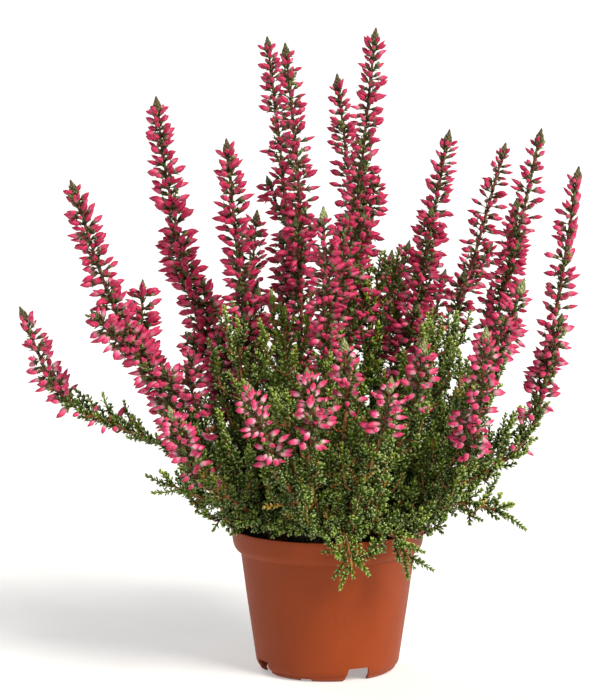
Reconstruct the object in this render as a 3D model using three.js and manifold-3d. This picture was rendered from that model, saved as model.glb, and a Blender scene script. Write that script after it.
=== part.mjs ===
// Potted heather: a moulded nursery pot with its soil, four bunches of leafy woody stems, and the
// bud-covered flower spikes with their green growing tips.
// Millimetres, +Z up. The pot stands on z = 0, and the origin lies under the middle of the whole plant.
import * as THREE from "three";
import { mergeVertices } from "three/addons/utils/BufferGeometryUtils.js";
import Module from "manifold-3d";

const wasm = await Module();
wasm.setup();

// ---------------------------------------------------------------- driving dimensions

const POT_AXIS = [15, -8]; // where the pot's axis stands, from the middle of the plant
const GAP = 0.3; // between pieces that touch
const SNAP = 0.002; // joined solids have their corners on a grid this fine
const MERGE = 1e-4; // corners nearer than this are one

const POT = {
  height: 78,
  rimRadius: 52.5,
  wall: 1.2,
  shoulderHeight: 64.5, // the collar starts here
  shoulderRadius: 47.3,
  collar: { bend: [2.8, 2.4], rise: 5.6, inset: 1.2 }, // how the wall steps out into the collar
  lining: 0.6, // the step stands this much higher inside
  cornerHeight: 6.5, // the rounded corner above the foot ends here
  cornerRadius: 38.9,
  corner: { inset: 0.7, drop: 2.6 },
  footRadius: 34.4,
  footWidth: 1.4,
  footRound: [2.4, 1.6],
  floorUnderside: 8.6,
  segments: 28,
};
const DEEP_NOTCH = { height: 7.4, topWidth: 11.7, bottomWidth: 15, angles: [25, 115, 205, 295] };
const SHALLOW_NOTCH = { height: 1.4, topWidth: 6.7, bottomWidth: 6.7, angles: [-20, 70, 160, 250] };
const NOTCH_DEPTH = 14; // its cutter's length along the radius
const DRAIN_HOLE = { radius: 2.8, ringRadius: 26, count: 8, depth: 6, sides: 8 };

const SOIL = { top: 72.5, edgeTop: 71, rings: [39, 27, 14], segments: 14, bump: 0.8, waveX: 0.31,
  waveY: 0.27 };

const CROWN = { bottom: 56, top: 77, radius: 7, taper: 0.8, sides: 8 };
const STEM_START = 74.5;
const FAN = 0.085; // how far from the middle of its woody base a stem starts, as a share of its lean
const STEM_ROOM = 1.7; // the room that a stem fills round its axis
const ROOTED = 4; // the length of stem that its woody base hides
const CORE_TAPER = 0.35; // the share of its radius that a core loses on its way
const END_CAP = 0.8; // how far a core's end stands out
const SIDE = [0.31, 0.83, 0.12]; // rings are counted from this direction, which no stem runs along

// What stands out of a core: how far apart along it, how far out and how much forward, and how much
// their length varies.
const BUD = { pitch: 6.1, core: 2.1, reach: 8.6, tipReach: 5.2, lift: 1.2, sides: 3, twist: 0.7,
  scatter: 0.15, smallest: 0.4 };
const TIP = { length: 11, pitch: 5.5, core: 1.3, reach: 2.5, lift: 1.6, sides: 3, twist: 1.05, taper: 0.4 };
// The short leafy side shoots that clothe a stem.
const SHOOT = { pitch: 7.35, core: 1.5, reach: 15, lift: 8, sides: 3, twist: 0.9, bare: 14, shortest: 4,
  endShare: 0.6, least: 0.7, scatter: 0.5 };
const SHOOT_ROOM = 1.5; // the room that a side shoot needs round its axis
const TESTED = [0.55, 0.8, 1]; // the places along a stud that must be clear of its neighbours
const FILLED = [0.5, 0.75, 1]; // the places along a side shoot that its neighbours keep clear of
const SHRINK = 0.85; // a stud that isn't clear is shortened by this, again and again
const ROOM_STEP = 2; // between the points that stand for a stem's room
const FORK_BEND = { share: 0.45, lean: 0.15 }; // how a side spike leaves its stem
const FORK_START = 6; // the length of a side spike that lies within its stem's buds
const DRAWS = 40; // numbers drawn for each stem

// Where each bunch's woody base stands in the soil, from the pot's axis, and the seed of its shoots.
const BUNCHES = {
  left: { x: -26, y: -4, seed: 7 },
  right: { x: 26, y: -2, seed: 16 },
  front: { x: 2, y: -27, seed: 37 },
  back: { x: 2, y: 14, seed: 21 },
};

// Each flowering stem: its bunch, the points its axis passes on the way up from the base, from the
// pot's axis, and the length of stem that bears buds. A fork leaves its stem at a share of the way up.
const FLOWERING = [
  { name: "low_left", bunch: "left", route: [[-57, -10, 111], [-106, -16, 132], [-142, -22, 153],
    [-163, -24, 200]], bloom: 63 },
  { name: "left", bunch: "left", route: [[-64, -16, 119], [-90, -28, 158], [-113, -38, 203],
    [-134, -44, 268]], bloom: 144, fork: { at: 0.55, tip: [-98, -20, 214] } },
  { name: "low_left_front", bunch: "left", route: [[-51, -44, 100], [-69, -58, 114],
    [-83, -64, 153]], bloom: 45 },
  { name: "upper_left", bunch: "left", route: [[-51, 4, 130], [-70, 16, 187], [-87, 26, 263],
    [-93, 28, 309]], bloom: 165 },
  { name: "inner_left", bunch: "back", route: [[-35, -4, 126], [-46, -10, 207],
    [-54, -12, 288]], bloom: 133 },
  { name: "top_left_back", bunch: "back", route: [[-19, 26, 143], [-23, 34, 249],
    [-33, 40, 341]], bloom: 181 },
  { name: "top_left", bunch: "back", route: [[-13, 6, 146], [-15, 2, 251],
    [-23, 4, 338]], bloom: 179 },
  { name: "short_left_back", bunch: "back", route: [[-31, 58, 138], [-41, 74, 201],
    [-39, 78, 244]], bloom: 59 },
  { name: "top_right_back", bunch: "back", route: [[9, 22, 144], [13, 28, 239],
    [5, 34, 321]], bloom: 160 },
  { name: "top_right", bunch: "back", route: [[10, 2, 147], [15, -6, 241],
    [25, -10, 346]], bloom: 187, fork: { at: 0.6, tip: [27, 2, 268] } },
  { name: "middle", bunch: "front", route: [[-1, -46, 142], [-2, -54, 206],
    [-3, -54, 255]], bloom: 85, fork: { at: 0.6, tip: [9, -50, 252] } },
  { name: "right", bunch: "right", route: [[35, 2, 135], [51, 4, 217],
    [65, 6, 292]], bloom: 149, fork: { at: 0.55, tip: [55, -8, 252] } },
  { name: "short_right_back", bunch: "back", route: [[25, 54, 128], [33, 78, 181],
    [37, 84, 221]], bloom: 48, fork: { at: 0.78, tip: [47, 88, 226] } },
  { name: "far_right_back", bunch: "back", route: [[41, 60, 121], [58, 88, 169],
    [68, 96, 209]], bloom: 45 },
  { name: "outer_right_back", bunch: "right", route: [[53, 22, 132], [77, 38, 208],
    [98, 46, 283]], bloom: 107 },
  { name: "outer_right", bunch: "right", route: [[65, -12, 132], [90, -24, 198],
    [111, -30, 294]], bloom: 139, fork: { at: 0.58, tip: [98, -36, 258] } },
  { name: "low_right", bunch: "right", route: [[66, -44, 123], [86, -60, 173],
    [100, -66, 219]], bloom: 48 },
  { name: "far_right", bunch: "right", route: [[65, -14, 99], [106, -20, 130], [120, -24, 198],
    [131, -26, 274]], bloom: 144 },
  { name: "front_left", bunch: "front", route: [[-20, -68, 109], [-33, -94, 142],
    [-42, -104, 171]], bloom: 53 },
  { name: "front_middle", bunch: "front", route: [[-10, -70, 115], [-9, -96, 150],
    [-12, -106, 180]], bloom: 51 },
  { name: "front_centre", bunch: "front", route: [[5, -58, 118], [9, -80, 158],
    [7, -86, 191]], bloom: 40 },
  { name: "front_low_right", bunch: "front", route: [[17, -66, 114], [27, -92, 144],
    [31, -100, 173]], bloom: 35 },
  { name: "front_right", bunch: "front", route: [[32, -52, 122], [44, -74, 157],
    [48, -82, 190]], bloom: 43 },
  { name: "low_right_front", bunch: "right", route: [[66, -52, 112], [76, -78, 147],
    [79, -90, 197]], bloom: 80 },
  { name: "back_low_left", bunch: "left", route: [[-58, 20, 104], [-88, 42, 134],
    [-100, 50, 178]], bloom: 60, bareTip: true },
  { name: "back_left", bunch: "back", route: [[-34, 62, 112], [-58, 96, 146],
    [-66, 106, 192]], bloom: 62, bareTip: true },
  { name: "back_middle", bunch: "back", route: [[6, 64, 112], [8, 100, 150],
    [6, 112, 204]], bloom: 70, bareTip: true },
  { name: "back_low_middle", bunch: "back", route: [[-8, 74, 98], [-16, 106, 112],
    [-18, 118, 148]], bloom: 45, bareTip: true },
  { name: "back_low_right", bunch: "back", route: [[32, 74, 98], [48, 106, 118],
    [56, 116, 156]], bloom: 52, bareTip: true },
  { name: "back_right", bunch: "right", route: [[56, 34, 108], [84, 62, 146],
    [94, 74, 190]], bloom: 66, bareTip: true },
];

// Leafy stems with no flowers, which fill the bush and trail over the rim.
const LEAFY = [
  { bunch: "left", route: [[-42, -24, 124], [-47, -32, 180]] },
  { bunch: "front", route: [[-16, -44, 128], [-24, -34, 190]] },
  { bunch: "back", route: [[19, 12, 146], [27, 12, 212]] },
  { bunch: "right", route: [[46, -22, 128], [56, -34, 182]] },
  { bunch: "front", route: [[-12, -62, 116], [-24, -82, 150]] },
  { bunch: "front", route: [[4, -46, 88], [9, -60, 82], [12, -66, 68]] },
  { bunch: "front", route: [[22, -44, 89], [34, -55, 82], [42, -59, 71]] },
  { bunch: "right", route: [[52, -22, 90], [74, -34, 96], [92, -42, 92]] },
  { bunch: "right", route: [[60, 12, 94], [84, 22, 108], [100, 26, 128]] },
  { bunch: "left", route: [[-50, -16, 92], [-68, -26, 98], [-84, -32, 106]] },
  { bunch: "left", route: [[-52, 22, 92], [-72, 38, 106], [-84, 46, 122]] },
  { bunch: "back", route: [[-16, 52, 94], [-36, 76, 104], [-46, 88, 112]] },
  { bunch: "back", route: [[22, 52, 94], [30, 80, 104], [28, 92, 116]] },
];

// ---------------------------------------------------------------- materials

const paint = (color, roughness) => new THREE.MeshStandardMaterial({ color, roughness, metalness: 0 });
const MATERIALS = {
  pot: paint("#a9522e", 0.55),
  soil: paint("#2a1d15", 0.98),
  leaves: paint("#4c6330", 0.7),
  buds: paint("#cf2f68", 0.6),
  tip: paint("#5d6136", 0.7),
};

// ---------------------------------------------------------------- solids

/** A closed geometry as a manifold-3d solid. */
function toSolid(geometry) {
  const bare = geometry.clone();
  bare.deleteAttribute("normal");
  bare.deleteAttribute("uv");
  const merged = mergeVertices(bare, MERGE);
  return new wasm.Manifold(
    new wasm.Mesh({
      numProp: 3,
      vertProperties: merged.attributes.position.array,
      triVerts: new Uint32Array(merged.index.array),
    }),
  );
}

/** The largest body of a solid as a geometry: a sealed hollow is filled and a loose scrap dropped. */
function toGeometry(solid) {
  const [body] = solid.decompose().sort((a, b) => b.volume() - a.volume());
  const mesh = body.getMesh();
  const snapped = mesh.vertProperties.map((value) => Math.round(value / SNAP) * SNAP);
  const geometry = new THREE.BufferGeometry();
  geometry.setAttribute("position", new THREE.BufferAttribute(snapped, 3));
  geometry.setIndex(new THREE.BufferAttribute(mesh.triVerts, 1));
  const tidy = withoutFlatFaces(mergeVertices(geometry, SNAP / 10));
  tidy.computeVertexNormals();
  return tidy;
}

/** Drops the faces that snapping flattens to a line, and the pairs that it folds onto each other. */
function withoutFlatFaces(geometry) {
  const corners = geometry.index.array;
  const kept = new Map();
  for (let i = 0; i < corners.length; i += 3) {
    const face = [...corners.slice(i, i + 3)];
    if (new Set(face).size < 3) continue;
    const key = [...face].sort((a, b) => a - b).join();
    if (!kept.delete(key)) kept.set(key, face);
  }
  geometry.setIndex([...kept.values()].flat());
  return geometry;
}

/** All the solids joined into one, in pairs so that each join stays small. */
function joined(solids) {
  if (solids.length === 1) return solids[0];
  const half = Math.ceil(solids.length / 2);
  return joined(solids.slice(0, half)).add(joined(solids.slice(half)));
}

/** A named mesh with a material of its own. */
function named(name, geometry, material) {
  const mesh = new THREE.Mesh(geometry, material.clone());
  mesh.name = name;
  return mesh;
}

/** The n-th number, from 0 to 1, of one fixed row of random numbers. */
function draw(n) {
  const wave = Math.sin(n * 12.9898 + 78.233) * 43758.5453;
  return wave - Math.floor(wave);
}

// ---------------------------------------------------------------- room for each piece

// Every stem, spike and shoot that has its place already: the points of its axis, the radius that it
// fills round them, and its owner, which is the spike or the stem that it belongs to.
const placed = [];

/** Notes the room that a piece fills. */
function occupy(points, radius, owner) {
  placed.push({ points, radius, owner, box: new THREE.Box3().setFromPoints(points) });
}

/** Whether a ball of this radius touches nothing that is placed, apart from its own spike or stem. */
function isClear(point, radius, owner) {
  return placed.every((piece) => {
    if (piece.owner === owner) return true;
    const room = piece.radius + radius;
    if (piece.box.distanceToPoint(point) > room) return true;
    return piece.points.every((other) => other.distanceTo(point) > room);
  });
}

/** Whether a point with room round it lies above the soil and clear of the rim. */
function isAbovePot(point, room) {
  const distance = Math.hypot(point.x, point.y);
  if (distance > POT.rimRadius + room) return true;
  const floor = distance > POT.rimRadius - POT.wall - room ? POT.height : SOIL.top + 2 * SOIL.bump;
  return point.z - room > floor;
}

/** Points along a path from one length to another. */
function pointsBetween(path, from, to) {
  const count = Math.max(2, Math.ceil((to - from) / ROOM_STEP));
  const length = path.getLength();
  return Array.from({ length: count + 1 }, (_, i) =>
    path.getPointAt(Math.min(1, (from + ((to - from) * i) / count) / length)),
  );
}

// ---------------------------------------------------------------- surfaces round a path

/** Rings of points round a path from one length along it to another, each turned by twist. */
function ringsRound({ path, from, to, levels, sides, twist, radiusAt }) {
  const length = path.getLength();
  const normal = new THREE.Vector3(...SIDE);
  return Array.from({ length: levels + 1 }, (_, k) => {
    const share = k / levels;
    const u = Math.min(1, (from + (to - from) * share) / length);
    const centre = path.getPointAt(u);
    const along = path.getTangentAt(u);
    normal.addScaledVector(along, -normal.dot(along)).normalize();
    const across = new THREE.Vector3().crossVectors(along, normal);
    const direction = (angle) =>
      normal.clone().multiplyScalar(Math.cos(angle)).addScaledVector(across, Math.sin(angle));
    const points = Array.from({ length: sides }, (_, j) =>
      centre.clone().addScaledVector(direction(k * twist + (j * 2 * Math.PI) / sides), radiusAt(share)),
    );
    return { centre, along, points };
  });
}

/**
 * A closed skin over rings: each cell between two rings rises to the point that peakOf gives, or stays
 * a plain pair of triangles where it gives none.
 */
function skin(rings, peakOf) {
  const sides = rings[0].points.length;
  const vertices = rings.flatMap((ring) => ring.points);
  const faces = [];
  const at = (k, j) => k * sides + (j % sides);
  for (let k = 0; k + 1 < rings.length; k++) {
    for (let j = 0; j < sides; j++) {
      const corners = [at(k, j), at(k, j + 1), at(k + 1, j + 1), at(k + 1, j)];
      const peak = peakOf(k, corners.map((n) => vertices[n]));
      if (!peak) {
        faces.push(corners[0], corners[1], corners[2], corners[0], corners[2], corners[3]);
        continue;
      }
      const top = vertices.push(peak) - 1;
      corners.forEach((corner, n) => faces.push(corner, corners[(n + 1) % 4], top));
    }
  }
  const first = rings[0];
  const last = rings[rings.length - 1];
  const start = vertices.push(first.centre) - 1;
  const end = vertices.push(last.centre.clone().addScaledVector(last.along, END_CAP)) - 1;
  for (let j = 0; j < sides; j++) {
    faces.push(start, at(0, j + 1), at(0, j));
    faces.push(end, at(rings.length - 1, j), at(rings.length - 1, j + 1));
  }
  const geometry = new THREE.BufferGeometry().setFromPoints(vertices);
  geometry.setIndex(faces);
  geometry.computeVertexNormals();
  return geometry;
}

/**
 * A core along a path whose every cell rises to a pointed bud, leaf or side shoot that leans up the path.
 * reachAt gives how far the n-th one stands out, and place shortens it or drops it, where it is given.
 */
function studded({ path, from, to, shape, reachAt, place }) {
  const levels = Math.max(1, Math.round((to - from) / shape.pitch));
  const rings = ringsRound({ path, from, to, levels, sides: shape.sides, twist: shape.twist,
    radiusAt: (share) => shape.core * (1 - CORE_TAPER * share) });
  let n = 0;
  return skin(rings, (k, corners) => {
    if (k * shape.pitch < (shape.bare ?? 0)) return null;
    const ring = rings[k];
    const middle = ring.centre.clone().lerp(rings[k + 1].centre, 0.5);
    const out = corners.reduce((sum, corner) => sum.add(corner), new THREE.Vector3());
    out.multiplyScalar(1 / corners.length).sub(middle);
    out.addScaledVector(ring.along, -out.dot(ring.along)).normalize();
    out.multiplyScalar(shape.reach).addScaledVector(ring.along, shape.lift);
    const stud = { root: middle, out, size: reachAt((k + 0.5) / levels, n++) / shape.reach };
    return place && !place(stud) ? null : pointOn(stud, 1);
  });
}

/** The point a share of the way out along a stud. */
const pointOn = (stud, share) => stud.root.clone().addScaledVector(stud.out, stud.size * share);

/** Shortens a stud until it is clear of what other owners have placed. Returns whether it still shows. */
function shorten(stud, owner, room, smallest) {
  const fits = (point) => isClear(point, room, owner) && isAbovePot(point, room);
  while (!TESTED.every((share) => fits(pointOn(stud, share)))) {
    stud.size *= SHRINK;
    if (stud.size < smallest) return false;
  }
  return true;
}

// ---------------------------------------------------------------- pot

/** The closed outline of the pot's wall and floor: up the outside, then down the inside. */
function potProfile() {
  const { wall, rimRadius, height, shoulderRadius, shoulderHeight, cornerRadius, cornerHeight } = POT;
  const { collar, corner, footRadius, footWidth, footRound, floorUnderside, lining } = POT;
  const outside = [
    [footRadius, 0],
    [footRadius + footRound[0], footRound[1]],
    [cornerRadius - corner.inset, cornerHeight - corner.drop],
    [cornerRadius, cornerHeight],
    [shoulderRadius, shoulderHeight],
    [shoulderRadius + collar.bend[0], shoulderHeight + collar.bend[1]],
    [rimRadius - collar.inset, shoulderHeight + collar.rise],
    [rimRadius, height],
  ];
  const inside = [
    [rimRadius - wall, height],
    [rimRadius - wall - collar.inset, shoulderHeight + collar.rise + lining],
    [shoulderRadius - wall + collar.bend[0], shoulderHeight + collar.bend[1] + lining],
    [shoulderRadius - wall, shoulderHeight + lining],
    [cornerRadius - wall, floorUnderside + wall],
    [0, floorUnderside + wall],
    [0, floorUnderside],
    [cornerRadius - wall, floorUnderside],
    [cornerRadius - wall - corner.inset, cornerHeight - corner.drop],
    [footRadius - footWidth, 0],
  ];
  return [...outside, ...inside, outside[0]].map(([r, z]) => new THREE.Vector2(r, z));
}

/** A profile turned round the z axis. */
function turned(profile, segments) {
  return new THREE.LatheGeometry(profile, segments).rotateX(Math.PI / 2);
}

/** The block that cuts one notch into the foot ring, at an angle from the front towards +X. */
function notchCutter({ height, topWidth, bottomWidth }, angle) {
  const below = 1;
  const shape = new THREE.Shape([
    new THREE.Vector2(-bottomWidth / 2, -below),
    new THREE.Vector2(bottomWidth / 2, -below),
    new THREE.Vector2(topWidth / 2, height),
    new THREE.Vector2(-topWidth / 2, height),
  ]);
  const block = new THREE.ExtrudeGeometry(shape, { depth: NOTCH_DEPTH, bevelEnabled: false });
  block.rotateX(Math.PI / 2);
  block.translate(0, -POT.footRadius + NOTCH_DEPTH / 2, 0);
  return block.rotateZ(THREE.MathUtils.degToRad(angle));
}

/** The pot with its notched foot ring and its drain holes. */
function pot() {
  let body = toSolid(turned(potProfile(), POT.segments));
  for (const notch of [DEEP_NOTCH, SHALLOW_NOTCH]) {
    for (const angle of notch.angles) body = body.subtract(toSolid(notchCutter(notch, angle)));
  }
  const { radius, ringRadius, count, depth, sides } = DRAIN_HOLE;
  for (let i = 0; i < count; i++) {
    const turn = (i * 2 * Math.PI) / count;
    const drill = new THREE.CylinderGeometry(radius, radius, depth, sides);
    drill.rotateX(Math.PI / 2);
    drill.translate(ringRadius * Math.cos(turn), ringRadius * Math.sin(turn), POT.floorUnderside);
    body = body.subtract(toSolid(drill));
  }
  return named("pot", toGeometry(body), MATERIALS.pot);
}

// ---------------------------------------------------------------- soil

/** The block of soil: it lines the wall at a small gap, and its top is uneven. */
function soil() {
  const { wall, shoulderRadius, shoulderHeight, cornerRadius, rimRadius, collar, lining } = POT;
  const inner = wall + 1.5 * GAP;
  const floor = POT.floorUnderside + wall + GAP;
  const profile = [
    [0, floor],
    [cornerRadius - inner, floor],
    [shoulderRadius - inner, shoulderHeight + lining],
    [shoulderRadius - inner + collar.bend[0], shoulderHeight + collar.bend[1] + lining + 2 * GAP],
    [rimRadius - inner - collar.inset, SOIL.edgeTop],
    ...[...SOIL.rings, 0].map((radius) => [radius, SOIL.top]),
  ].map(([r, z]) => new THREE.Vector2(r, z));
  const block = turned(profile, SOIL.segments);
  const point = new THREE.Vector3();
  const spots = block.attributes.position;
  for (let i = 0; i < spots.count; i++) {
    point.fromBufferAttribute(spots, i);
    if (point.z < SOIL.top - GAP) continue;
    const wave = Math.sin(point.x * SOIL.waveX + 1) + Math.cos(point.y * SOIL.waveY);
    spots.setZ(i, point.z + SOIL.bump * wave);
  }
  let body = toSolid(block);
  for (const bunch of Object.values(BUNCHES)) body = body.subtract(toSolid(crownGeometry(bunch, GAP)));
  return named("soil", toGeometry(body), MATERIALS.soil);
}

/** The woody base of a bunch, or with room round it the hole that it stands in. */
function crownGeometry({ x, y }, room = 0) {
  const radius = CROWN.radius + room;
  const height = CROWN.top - CROWN.bottom + room;
  const base = new THREE.CylinderGeometry(radius * (room ? 1 : CROWN.taper), radius, height, CROWN.sides);
  base.rotateX(Math.PI / 2);
  return base.translate(x, y, CROWN.top - height / 2);
}

// ---------------------------------------------------------------- stems, spikes and leaves

/** The line of a stem's axis, from the soil up. */
function pathOf(stem) {
  const { x, y } = BUNCHES[stem.bunch];
  const [nextX, nextY] = stem.route[0];
  const start = [x + FAN * (nextX - x), y + FAN * (nextY - y), STEM_START];
  const points = [start, ...stem.route].map((p) => new THREE.Vector3(...p));
  return new THREE.CatmullRomCurve3(points, false, "catmullrom", 0.5);
}

/** The way of a side spike: out of its stem, then up to its own tip. */
function forkPath(path, fork) {
  const start = path.getPointAt(fork.at);
  const tip = new THREE.Vector3(...fork.tip);
  const bend = start.clone().lerp(tip, FORK_BEND.share);
  bend.x += (tip.x - start.x) * FORK_BEND.lean;
  bend.y += (tip.y - start.y) * FORK_BEND.lean;
  return new THREE.CatmullRomCurve3([start, bend, tip], false, "catmullrom", 0.5);
}

/** The core of a spike with its buds, which get shorter to the tip. */
function buds(path, from, to, node) {
  const reachAt = (share, n) => {
    const reach = THREE.MathUtils.lerp(BUD.reach, BUD.tipReach, share ** 2);
    return reach * (1 - BUD.scatter * draw(n));
  };
  const place = (stud) => shorten(stud, node, GAP, BUD.smallest);
  return studded({ path, from, to, shape: BUD, reachAt, place });
}

/** The budded length of a stem, with its side spike where it has one. */
function flowerSpike(stem) {
  const node = "flower_spike_" + stem.name;
  const geometries = [buds(stem.path, stem.spikeFrom, stem.spikeTo, node)];
  if (stem.fork) {
    const path = forkPath(stem.path, stem.fork);
    geometries.push(buds(path, 0, path.getLength(), node));
    occupy(pointsBetween(path, FORK_START, path.getLength()), BUD.reach, node);
  }
  occupy(pointsBetween(stem.path, stem.spikeFrom, stem.spikeTo), BUD.reach, node);
  return named(node, toGeometry(joined(geometries.map(toSolid))), MATERIALS.buds);
}

/** The growing tip over a spike, of small close scales. */
function spikeTip(stem) {
  const node = "spike_tip_" + stem.name;
  const length = stem.path.getLength();
  const geometry = studded({ path: stem.path, from: length - TIP.length, to: length, shape: TIP,
    reachAt: (share) => TIP.reach * (1 - TIP.taper * share) });
  occupy(pointsBetween(stem.path, length - TIP.length, length), TIP.reach, node);
  return named(node, geometry, MATERIALS.tip);
}

/** One woody stem with its leafy side shoots, the longest of them midway. */
function leafyStem(stem, seed) {
  const reachAt = (share, n) => {
    const swell = THREE.MathUtils.lerp(SHOOT.endShare, 1, Math.sin(Math.PI * share));
    return SHOOT.reach * swell * (SHOOT.least + SHOOT.scatter * draw(seed + n));
  };
  const place = (stud) => {
    if (!shorten(stud, stem, SHOOT_ROOM, SHOOT.shortest / SHOOT.reach)) return false;
    occupy(FILLED.map((share) => pointOn(stud, share)), SHOOT_ROOM, stem);
    return true;
  };
  return studded({ path: stem.path, from: 0, to: stem.leafyTo, shape: SHOOT, reachAt, place });
}

/** A woody base with all its stems in one solid. */
function leafyBunch(bunch, stems) {
  const geometries = [crownGeometry(BUNCHES[bunch])];
  stems.forEach((stem, n) => geometries.push(leafyStem(stem, DRAWS * n + BUNCHES[bunch].seed)));
  return named("leafy_stems_" + bunch, toGeometry(joined(geometries.map(toSolid))), MATERIALS.leaves);
}

// ---------------------------------------------------------------- assembly

for (const stem of [...FLOWERING, ...LEAFY]) {
  stem.path = pathOf(stem);
  const length = stem.path.getLength();
  const tip = stem.bareTip ? 0 : TIP.length + GAP + END_CAP;
  stem.spikeTo = length - tip;
  stem.spikeFrom = length - (stem.bloom ?? 0);
  stem.leafyTo = stem.bloom ? stem.spikeFrom - GAP - END_CAP : length;
  occupy(pointsBetween(stem.path, ROOTED, stem.leafyTo), STEM_ROOM, stem);
}

const plant = new THREE.Group();
plant.position.set(POT_AXIS[0], POT_AXIS[1], 0);
plant.add(pot(), soil());
FLOWERING.forEach((stem) => plant.add(flowerSpike(stem)));
FLOWERING.filter((stem) => !stem.bareTip).forEach((stem) => plant.add(spikeTip(stem)));
for (const bunch of Object.keys(BUNCHES)) {
  plant.add(leafyBunch(bunch, [...FLOWERING, ...LEAFY].filter((stem) => stem.bunch === bunch)));
}

const heather = new THREE.Group();
heather.add(plant);
export default heather;
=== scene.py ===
"""Potted heather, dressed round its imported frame.

A moulded nursery pot with peat, four bunches of woody stems clothed in scale-leaved shoots, and flower
spikes set with pointed buds, each ending in a green growing tip. Blender units are metres; the tables
of the plant are in millimetres, and mm() turns them.
"""

import logging
import math
import random
from contextlib import contextmanager
from dataclasses import dataclass, field
from enum import Enum
from functools import partial
from typing import Callable, Iterator, Optional, Sequence, Union

import bmesh
import bpy
import numpy as np
from mathutils import Matrix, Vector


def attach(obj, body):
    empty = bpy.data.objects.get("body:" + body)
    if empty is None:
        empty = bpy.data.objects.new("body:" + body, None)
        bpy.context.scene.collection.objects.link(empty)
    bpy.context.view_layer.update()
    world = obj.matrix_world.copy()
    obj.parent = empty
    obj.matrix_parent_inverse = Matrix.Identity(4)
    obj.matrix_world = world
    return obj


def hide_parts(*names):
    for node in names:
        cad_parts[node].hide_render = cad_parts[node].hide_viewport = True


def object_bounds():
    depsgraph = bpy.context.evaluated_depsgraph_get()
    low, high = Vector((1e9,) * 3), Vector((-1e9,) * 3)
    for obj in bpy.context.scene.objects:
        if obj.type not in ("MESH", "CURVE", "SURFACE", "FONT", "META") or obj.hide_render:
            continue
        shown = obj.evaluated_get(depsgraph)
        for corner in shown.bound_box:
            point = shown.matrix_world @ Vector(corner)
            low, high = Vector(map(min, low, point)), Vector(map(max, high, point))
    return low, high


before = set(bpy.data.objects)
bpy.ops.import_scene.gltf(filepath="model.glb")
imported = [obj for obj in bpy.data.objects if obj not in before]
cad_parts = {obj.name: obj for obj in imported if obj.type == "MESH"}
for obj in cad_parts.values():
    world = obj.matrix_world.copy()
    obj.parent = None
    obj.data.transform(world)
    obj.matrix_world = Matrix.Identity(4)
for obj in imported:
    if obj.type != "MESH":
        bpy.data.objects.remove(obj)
CAD_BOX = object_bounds()

LOG = logging.getLogger("potted_heather")
BODY = "root"
LOOK = "look"  # the attribute that a copied shape carries: along it, round it or up its shoot, tint
POT_AXIS = np.array([15.0, -8.0, 0.0])  # where the pot's axis stands, in millimetres
AXIS = POT_AXIS * 0.001  # and in metres
SAME_HEIGHT = 1e-7  # two rings nearer than this, in metres, stand at one height
FIRST_SIDE = np.array([0.31, 0.83, 0.12])  # a side direction that no stem runs along
NEXT_TURN = 2.4  # the turn from one shoot to the next up a stem, in radians
Point = tuple[float, float, float]
Span = tuple[float, float]
Profile = Sequence[Span]


def mm(value: float) -> float:
    """Millimetres to metres."""
    return value * 0.001


def placed(point: Sequence[float]) -> np.ndarray:
    """A point given in millimetres from the pot's axis, in metres in the part's frame."""
    return (np.array(point) + POT_AXIS) * 0.001


def clamped(value: float) -> float:
    """The number, or the nearer of 0 and 1 where it lies beyond them."""
    return min(1.0, max(0.0, value))


def blend_numbers(low: float, high: float, share: float) -> float:
    """The number a share of the way from low to high."""
    return low + (high - low) * share


# ---------------------------------------------------------------- modelling by hand


class Cap(Enum):
    """How the last ring of a turned shape is closed."""

    FLAT = "flat"
    POINT = "point"


def deselect_all() -> None:
    """Leaves nothing selected, so that an operator acts on the new piece alone."""
    if bpy.context.mode != "OBJECT":
        bpy.ops.object.mode_set(mode="OBJECT")
    bpy.ops.object.select_all(action="DESELECT")


def activate(piece: bpy.types.Object) -> None:
    """Leaves one piece selected and active."""
    deselect_all()
    bpy.context.view_layer.objects.active = piece
    piece.select_set(True)


@contextmanager
def editing(piece: bpy.types.Object) -> Iterator[None]:
    """Keeps a piece in edit mode while the block under it runs."""
    activate(piece)
    bpy.ops.object.mode_set(mode="EDIT")
    yield
    bpy.ops.object.mode_set(mode="OBJECT")


def apply_place(piece: bpy.types.Object) -> None:
    """Moves a piece's place, turn and scale into its mesh."""
    activate(piece)
    bpy.ops.object.transform_apply(location=True, rotation=True, scale=True)


def select_where(piece: bpy.types.Object, wanted: Callable[[np.ndarray], bool]) -> None:
    """Selects, in edit mode, the vertices whose place is wanted.

    Args:
        piece: The mesh object in edit mode.
        wanted: Whether the vertex at this place, in metres, is selected.
    """
    bpy.ops.mesh.select_mode(type="VERT")
    bpy.ops.mesh.select_all(action="DESELECT")
    mesh = bmesh.from_edit_mesh(piece.data)
    for vertex in mesh.verts:
        vertex.select = wanted(np.array(vertex.co))
    mesh.select_flush_mode()
    bmesh.update_edit_mesh(piece.data)


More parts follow.
